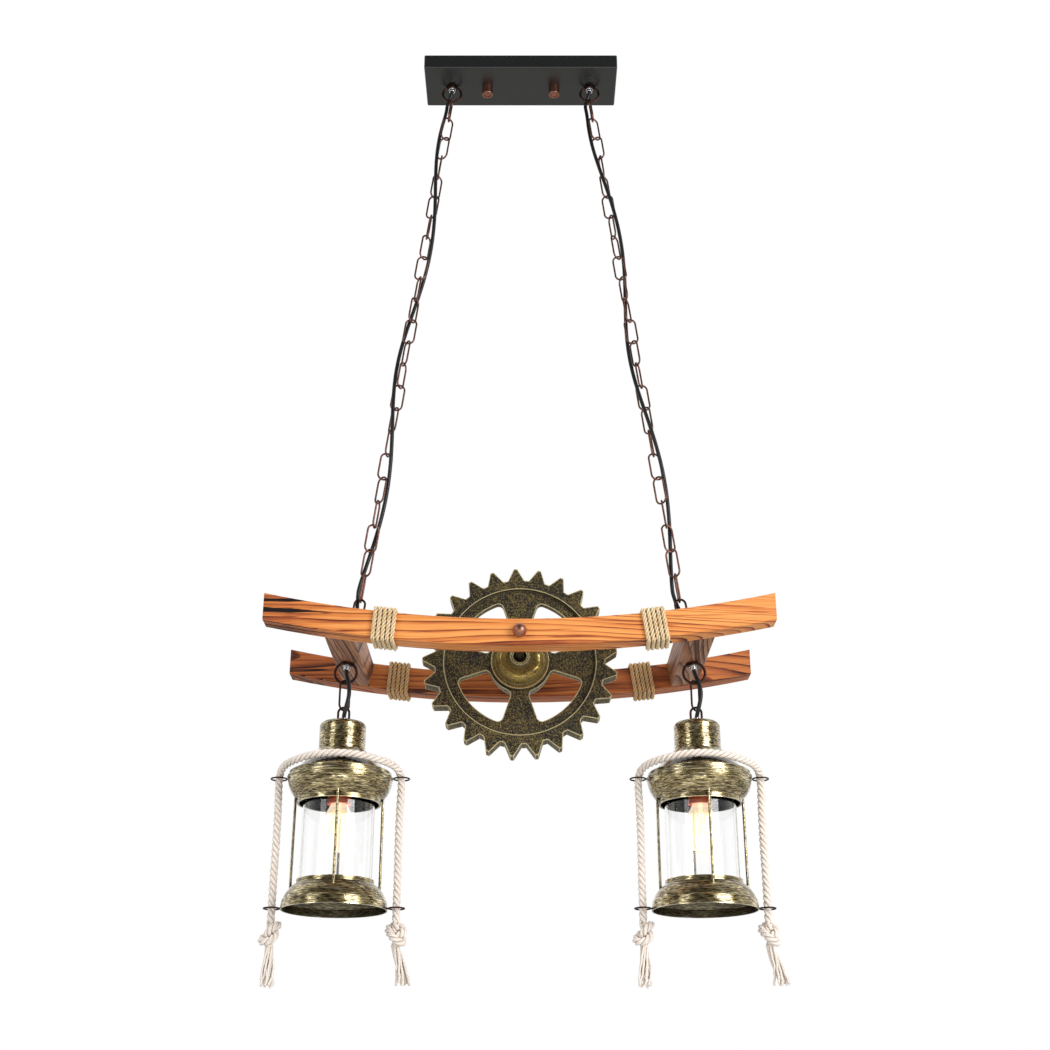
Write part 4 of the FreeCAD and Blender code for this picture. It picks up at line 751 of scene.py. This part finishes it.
def wiped_brass(name, side):
    """Wiped antique brass under lacquer: short bright streaks that run round the axis, with painted shade
    inside and in the hollows, and a painted highlight on the edges.
    """
    made, tree, shader = finish(name, Metallic=1.0, Coat_Weight=0.8, Coat_IOR=1.6, Coat_Roughness=0.14)
    place = add(tree, "ShaderNodeTexCoord").outputs["Object"]
    centred = add(tree, "ShaderNodeMapping",
                  {"Vector": place, "Location": (-side * LANTERN_X, 0, -CAP_TOP)}).outputs[0]
    parts = add(tree, "ShaderNodeSeparateXYZ", {0: centred}).outputs
    angle = add(tree, "ShaderNodeMath", {0: parts["Y"], 1: parts["X"]}, operation="ARCTAN2").outputs[0]
    arc = add(tree, "ShaderNodeMath", {0: angle, 1: WIPE_R}, operation="MULTIPLY").outputs[0]
    flat = add(tree, "ShaderNodeCombineXYZ", {0: parts["X"], 1: parts["Y"]}).outputs[0]
    radius = add(tree, "ShaderNodeVectorMath", {0: flat}, operation="LENGTH").outputs["Value"]
    sheet = add(tree, "ShaderNodeCombineXYZ", {0: arc, 1: radius, 2: parts["Z"]}).outputs[0]
    streak_at = add(tree, "ShaderNodeVectorMath", {0: sheet, 1: WIPE_STREAKS},
                    operation="MULTIPLY").outputs[0]
    streak = add(tree, "ShaderNodeTexNoise",
                 {"Vector": streak_at, "Scale": 1.0, "Detail": 4.0, "Roughness": 0.6})
    streak = streak.outputs["Fac"]
    broad_at = add(tree, "ShaderNodeVectorMath", {0: sheet, 1: WIPE_CLOUDS},
                   operation="MULTIPLY").outputs[0]
    broad = add(tree, "ShaderNodeTexNoise",
                {"Vector": broad_at, "Scale": 1.0, "Detail": 2.0}).outputs["Fac"]
    amount = add(tree, "ShaderNodeMath", {0: broad, 1: 0.3, 2: streak}, operation="MULTIPLY_ADD").outputs[0]
    brass = add(tree, "ShaderNodeMapRange",
                {"Value": amount, "From Min": 0.47, "From Max": 0.82}).outputs["Result"]
    facing = add(tree, "ShaderNodeNewGeometry").outputs["Normal"]
    wear_and_highlight, unshaded = wear_highlight_and_shade(tree, facing, edge_width=0.0024, recess=0.008, hidden=0.55, clear=0.85)
    # painted shade in the hollows, and a painted highlight on the edges with their wear
    brass = add(tree, "ShaderNodeMath", {0: brass, 1: unshaded}, operation="MULTIPLY").outputs[0]
    brass = add(tree, "ShaderNodeMath", {0: brass, 1: wear_and_highlight}, operation="MAXIMUM").outputs[0]
    tone = add(tree, "ShaderNodeValToRGB", {"Fac": brass})
    colours = tone.color_ramp.elements
    colours[0].position, colours[0].color = 0.0, linear("#15110A")
    colours[1].position, colours[1].color = 1.0, linear("#FFF3CC")
    for spot, hex_colour in ((0.35, "#463A1E"), (0.65, "#B4A068")):
        stop = colours.new(spot)
        stop.color = linear(hex_colour)
    # painted shade: inside the hood and the base, where the wall faces the axis, the colour is darkened
    inwards = add(tree, "ShaderNodeVectorMath", {0: flat}, operation="NORMALIZE").outputs[0]
    inwards = add(tree, "ShaderNodeVectorMath", {0: inwards, 1: facing},
                  operation="DOT_PRODUCT").outputs["Value"]
    outside = add(tree, "ShaderNodeMapRange", {
        "Value": inwards, "From Min": -0.12, "From Max": 0.0, "To Min": 0.25, "To Max": 1.0,
    }).outputs["Result"]
    colour = add(tree, "ShaderNodeMix",
                 {"Factor": outside, COLOUR_A: linear(PAINTED_INSIDE_SHADE), COLOUR_B: tone.outputs["Color"]},
                 data_type="RGBA").outputs[COLOUR_OUT]
    tree.links.new(colour, shader["Base Color"])
    dull = add(tree, "ShaderNodeMapRange",
               {"Value": brass, "To Min": 0.38, "To Max": 0.2}).outputs["Result"]
    tree.links.new(dull, shader["Roughness"])
    bump = add(tree, "ShaderNodeBump", {"Height": streak, "Strength": 0.25, "Distance": 0.0003})
    tree.links.new(bump.outputs[0], shader["Normal"])
    return made


def cap_top(side):
    """The middle of the top of a lantern's cap."""
    return Vector((side * LANTERN_X, 0, CAP_TOP))


GLASS_IOR = 1.46
# drawn clear glass shows as bright lines at its rims and sides
CHIMNEY = finish("chimney_glass", Roughness=0.0, IOR=GLASS_IOR, Transmission_Weight=1.0,
                 Base_Color=linear("#FFFFFF"))[0]
# the bulb's blown glass glows faintly itself, a painted glow for the filament's light
BULB_GLASS_PAINTED_GLOW = finish("bulb_glass", Roughness=0.0, IOR=GLASS_IOR, Transmission_Weight=1.0,
                    Base_Color=linear("#FFF6E6"), Emission_Color=linear("#FFF3DC"),
                    Emission_Strength=0.2)[0]
# lacquer over copper is an even orange with a soft sheen
HOLDER = finish("copper_lacquer", Metallic=0.1, Roughness=0.45, Base_Color=linear("#E8622A"))[0]
SCREW_BRASS = brushed_metal("screw_brass", "#D8B76A", "#A8833C", 0.3)
# a dimmed carbon filament glows pale orange
GLOW = finish("glowing_filament", Roughness=0.5, Base_Color=linear("#C07A3C"),
              Emission_Color=linear("#FFBE7C"), Emission_Strength=0.9)[0]
FILAMENT_D = 0.0007
FILAMENT_PINS = 9
FILAMENT_ENDS = ((-134, 8.0), (-171, 14.5))       # height over the cap's top and reach, in millimetres
PIN_BEND = 0.25                                   # half the width of a hairpin's bend, of their pitch
STEM_D = 0.007
STEM = ((0, 0, -117), (0, 0, -130), (0, 0, -146))
for name, side in SIDES:
    here = f"{name}_lantern_"
    dress(wiped_brass(f"wiped_brass_{name}", side),
          here + "cap", here + "hood", here + "base", here + "guard_rods")
    dress(DARK_COPPER, here + "eye", here + "eyelets", here + "link")
    dress(CHROME, here + "cord_bush")
    dress(CHIMNEY, here + "glass")
    dress(BULB_GLASS_PAINTED_GLOW, here + "bulb_glass")
    dress(HOLDER, here + "lampholder")
    dress(SCREW_BRASS, here + "bulb_cap")
    # inside the bulb one long filament runs in hairpins round a glass stem
    middle = cap_top(side)
    pins = []
    for k in range(2 * FILAMENT_PINS):
        height, reach = FILAMENT_ENDS[k % 2]
        for beside in (-PIN_BEND, PIN_BEND):
            turn = math.pi * (k + beside) / FILAMENT_PINS
            pins.append(middle + Vector((reach * math.cos(turn), reach * math.sin(turn), height)) / 1000)
    filament, _ = round_cord(here + "bulb_filament", pins, FILAMENT_D, GLOW)
    stem_route = [middle + Vector(spot) / 1000 for spot in STEM]
    stem, _ = round_cord(here + "bulb_stem", stem_route, STEM_D, BULB_GLASS_PAINTED_GLOW)
    for piece in (filament, stem):
        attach(piece, f"{name}_lantern")

# Lantern cords: the same black cord from the crossbar's lower bush down beside the link
# and into the cap through the eye. Each is two stretches, parted beside the link.
# from the middle of the cap's top, in millimetres
LANTERN_CORD = [(6.5, -7.5, 62), (8.5, -9.5, 42), (3, -6.4, 20), (0, 0, 8), (0, 0, -2)]
RING_BOSS_DOWN = 0.0245       # from the crossbar's middle to the lower face of its ring's boss
LINK_PART = 0.6               # share of the run beside the link where the lower stretch begins
for name, side in SIDES:
    route = [on_beam_arc(side * CROSSBAR_X, 0, 0, -RING_BOSS_DOWN - drop) for drop in (0, CORD_STRAIGHT)]
    route += [cap_top(side) + Vector(spot) / 1000 for spot in LANTERN_CORD]
    bend = route[2].lerp(route[3], LINK_PART)
    cord = supply_cord(f"{name}_lantern_cord_upper", route[:3] + [bend])
    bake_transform(cord)
    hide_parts(f"{name}_lantern_cord")
    cord = supply_cord(f"{name}_lantern_cord_lower", [bend] + route[3:])
    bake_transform(cord)

# Cotton rope: a three strand rope laid over the front of each hood and down through the eyelets.
# Below the lower eyelets it is tied in an overhand knot, and the cut end is unlaid into its yarns.
ROPE_D = 0.012
ROPE_LAY = 0.028
HOOD_RIDGE_R = 80.0
# half of the route: degrees from the left to the front, then millimetres out from the ridge and up
ROPE_HALF = [
    (0, 11.5, -300), (0, 11.9, -240), (0, 11.2, -182), (0, 11.6, -136), (0, 12.6, -112), (0, 13.2, -84),
    (12, 7.5, -71), (36, -3, -67.5), (61, -10.5, -63.5), (90, -13, -62),
]
# the knot, from where the rope enters to where its end leaves
KNOT = [
    (0, 0, 14), (0, 0, 10), (1.4, -1.3, 5.3), (5, -5.5, 0.3), (3.4, -10.5, -5.1), (-1.7, -11.7, -10.4),
    (-7.6, -8.4, -13.7), (-11.2, -1.8, -13.9), (-10.5, 5.2, -11.3), (-6.2, 9.3, -6.6), (-0.2, 9.3, -1.9),
    (5.9, 8.6, 2.7), (10.3, 5.2, 7.6), (11.2, -1.5, 11), (7.8, -8.1, 11.6), (1.6, -11.7, 9.1),
    (-3.9, -11, 4.2), (-6.2, -6.4, -1.3), (-3.1, -1.6, -5.9), (0, 0, -12.7), (0, 0, -19),
]
KNOT_DROP = 14.0      # from the end of the rope's run to the middle of its knot
TAIL_START = -17.0    # under the middle of the knot
TAIL_LENGTH = 57.0
GOLDEN_ANGLE = 2.39996
UNLAY = -1.6          # radians by which the yarns turn back along the tail
SPREAD_LATE = 1.4     # they spread slowly at first
TAIL_WAVES = 2.6      # waves along the tail
WAVES_APART = 5.3     # each yarn's waves lie this far from the next one's
TAIL_STEPS = 24
YARN_SIDES = 8


def frayed_end_tree():
    """Yarns that leave a rope's end together and spread, each with its own slow wave."""
    tree, size = rope_tree("frayed_end", Yarns="Int", Yarn_radius="Float", Root_radius="Float",
                           Tip_radius="Float", Wave="Float", Seed="Float")
    line = add(tree, "GeometryNodeResampleCurve", {"Curve": size["Line"], "Count": TAIL_STEPS})
    copies = add(tree, "GeometryNodeDuplicateElements",
                 {"Geometry": line.outputs[0], "Amount": size["Yarns"]}, domain="SPLINE")
    number = copies.outputs["Duplicate Index"]
    place = add(tree, "GeometryNodeSplineParameter").outputs
    share = add(tree, "ShaderNodeMath", {0: number, 1: 0.5}, operation="ADD").outputs[0]
    share = add(tree, "ShaderNodeMath", {0: share, 1: size["Yarns"]}, operation="DIVIDE").outputs[0]
    ring = add(tree, "ShaderNodeMath", {0: share}, operation="SQRT").outputs[0]
    spread = add(tree, "ShaderNodeMath", {0: place["Factor"], 1: SPREAD_LATE}, operation="POWER").outputs[0]
    reach = add(tree, "ShaderNodeMix",
                {"Factor": spread, "A": size["Root radius"], "B": size["Tip radius"]}).outputs[0]
    reach = add(tree, "ShaderNodeMath", {0: reach, 1: ring}, operation="MULTIPLY").outputs[0]
    turn = add(tree, "ShaderNodeMath", {0: number, 1: GOLDEN_ANGLE, 2: size["Seed"]},
               operation="MULTIPLY_ADD").outputs[0]
    turn = add(tree, "ShaderNodeMath", {0: place["Factor"], 1: UNLAY, 2: turn},
               operation="MULTIPLY_ADD").outputs[0]
    cosine = add(tree, "ShaderNodeMath", {0: turn}, operation="COSINE").outputs[0]
    sine = add(tree, "ShaderNodeMath", {0: turn}, operation="SINE").outputs[0]
    round_at = add(tree, "ShaderNodeCombineXYZ", {0: cosine, 1: sine}).outputs[0]
    out = add(tree, "ShaderNodeVectorMath", {0: round_at, "Scale": reach}, operation="SCALE").outputs[0]
    far = add(tree, "ShaderNodeMath", {0: number, 1: WAVES_APART, 2: size["Seed"]},
              operation="MULTIPLY_ADD").outputs[0]
    near = add(tree, "ShaderNodeMath", {0: place["Factor"], 1: TAIL_WAVES}, operation="MULTIPLY").outputs[0]
    at = add(tree, "ShaderNodeCombineXYZ", {0: far, 1: near}).outputs[0]
    wave = add(tree, "ShaderNodeTexNoise", {"Vector": at, "Scale": 1.0, "Detail": 1.0}).outputs["Color"]
    wave = add(tree, "ShaderNodeVectorMath", {0: wave, 1: (0.5, 0.5, 0.5)}, operation="SUBTRACT").outputs[0]
    loose = add(tree, "ShaderNodeMath", {0: place["Factor"], 1: size["Wave"]},
                operation="MULTIPLY").outputs[0]
    wave = add(tree, "ShaderNodeVectorMath", {0: wave, "Scale": loose}, operation="SCALE").outputs[0]
    out = add(tree, "ShaderNodeVectorMath", {0: out, 1: wave}, operation="ADD").outputs[0]
    round_strands(tree, size, copies.outputs["Geometry"], place["Length"], out, YARN_SIDES,
                  size["Yarn radius"])
    return tree


FRAYED_END = frayed_end_tree()
COTTON = yarn("cotton_rope", "#FBF4EC", "#E6D8CA", "#A8917E", lay=0.006, threads=5, fuzz=0.4)
for name, side in SIDES:
    middle = cap_top(side)
    half = []
    for degrees, out, height in ROPE_HALF:
        around, reach = math.radians(degrees), HOOD_RIDGE_R + out
        half.append(Vector((-reach * math.cos(around), -reach * math.sin(around), height)) / 1000)
    route = [middle + spot for spot in half]
    route += [middle + Vector((-spot.x, spot.y, spot.z)) for spot in reversed(half[:-1])]
    rope = laid(f"{name}_lantern_rope_lay", route, ROPE_D, -ROPE_LAY, COTTON, step=0.002, sides=12)
    pieces = [rope]
    # each end's knot has its own turn, in radians, and its tail its own lean, in degrees
    for end, at, turn, lean in (("left", route[0], 0.6, 0.0), ("right", route[-1], 2.2, 16.0)):
        here = at - Vector((0, 0, KNOT_DROP / 1000))
        tied = [here + Matrix.Rotation(turn, 3, "Z") @ Vector(spot) / 1000 for spot in KNOT]
        pieces.append(laid(f"{name}_lantern_knot_{end}", tied, ROPE_D, -ROPE_LAY, COTTON,
                           step=0.0015, sides=12))
        top = here + Vector((0, 0, TAIL_START / 1000))
        slope = math.radians(lean)
        tip = top + Vector((math.sin(slope), 0, -math.cos(slope))) * TAIL_LENGTH / 1000
        tail = route_curve(f"{name}_tail_{end}_route", [top, top.lerp(tip, 0.5), tip])
        pieces.append(grown(tail, FRAYED_END, f"{name}_lantern_tail_{end}", Yarns=11, Yarn_radius=0.0018,
                            Root_radius=0.005, Tip_radius=0.0115, Wave=0.012, Seed=turn * 3, Finish=COTTON))
    line = route_line(route)
    for piece in pieces:
        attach(piece, f"{name}_lantern")
    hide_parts(f"{name}_lantern_rope")
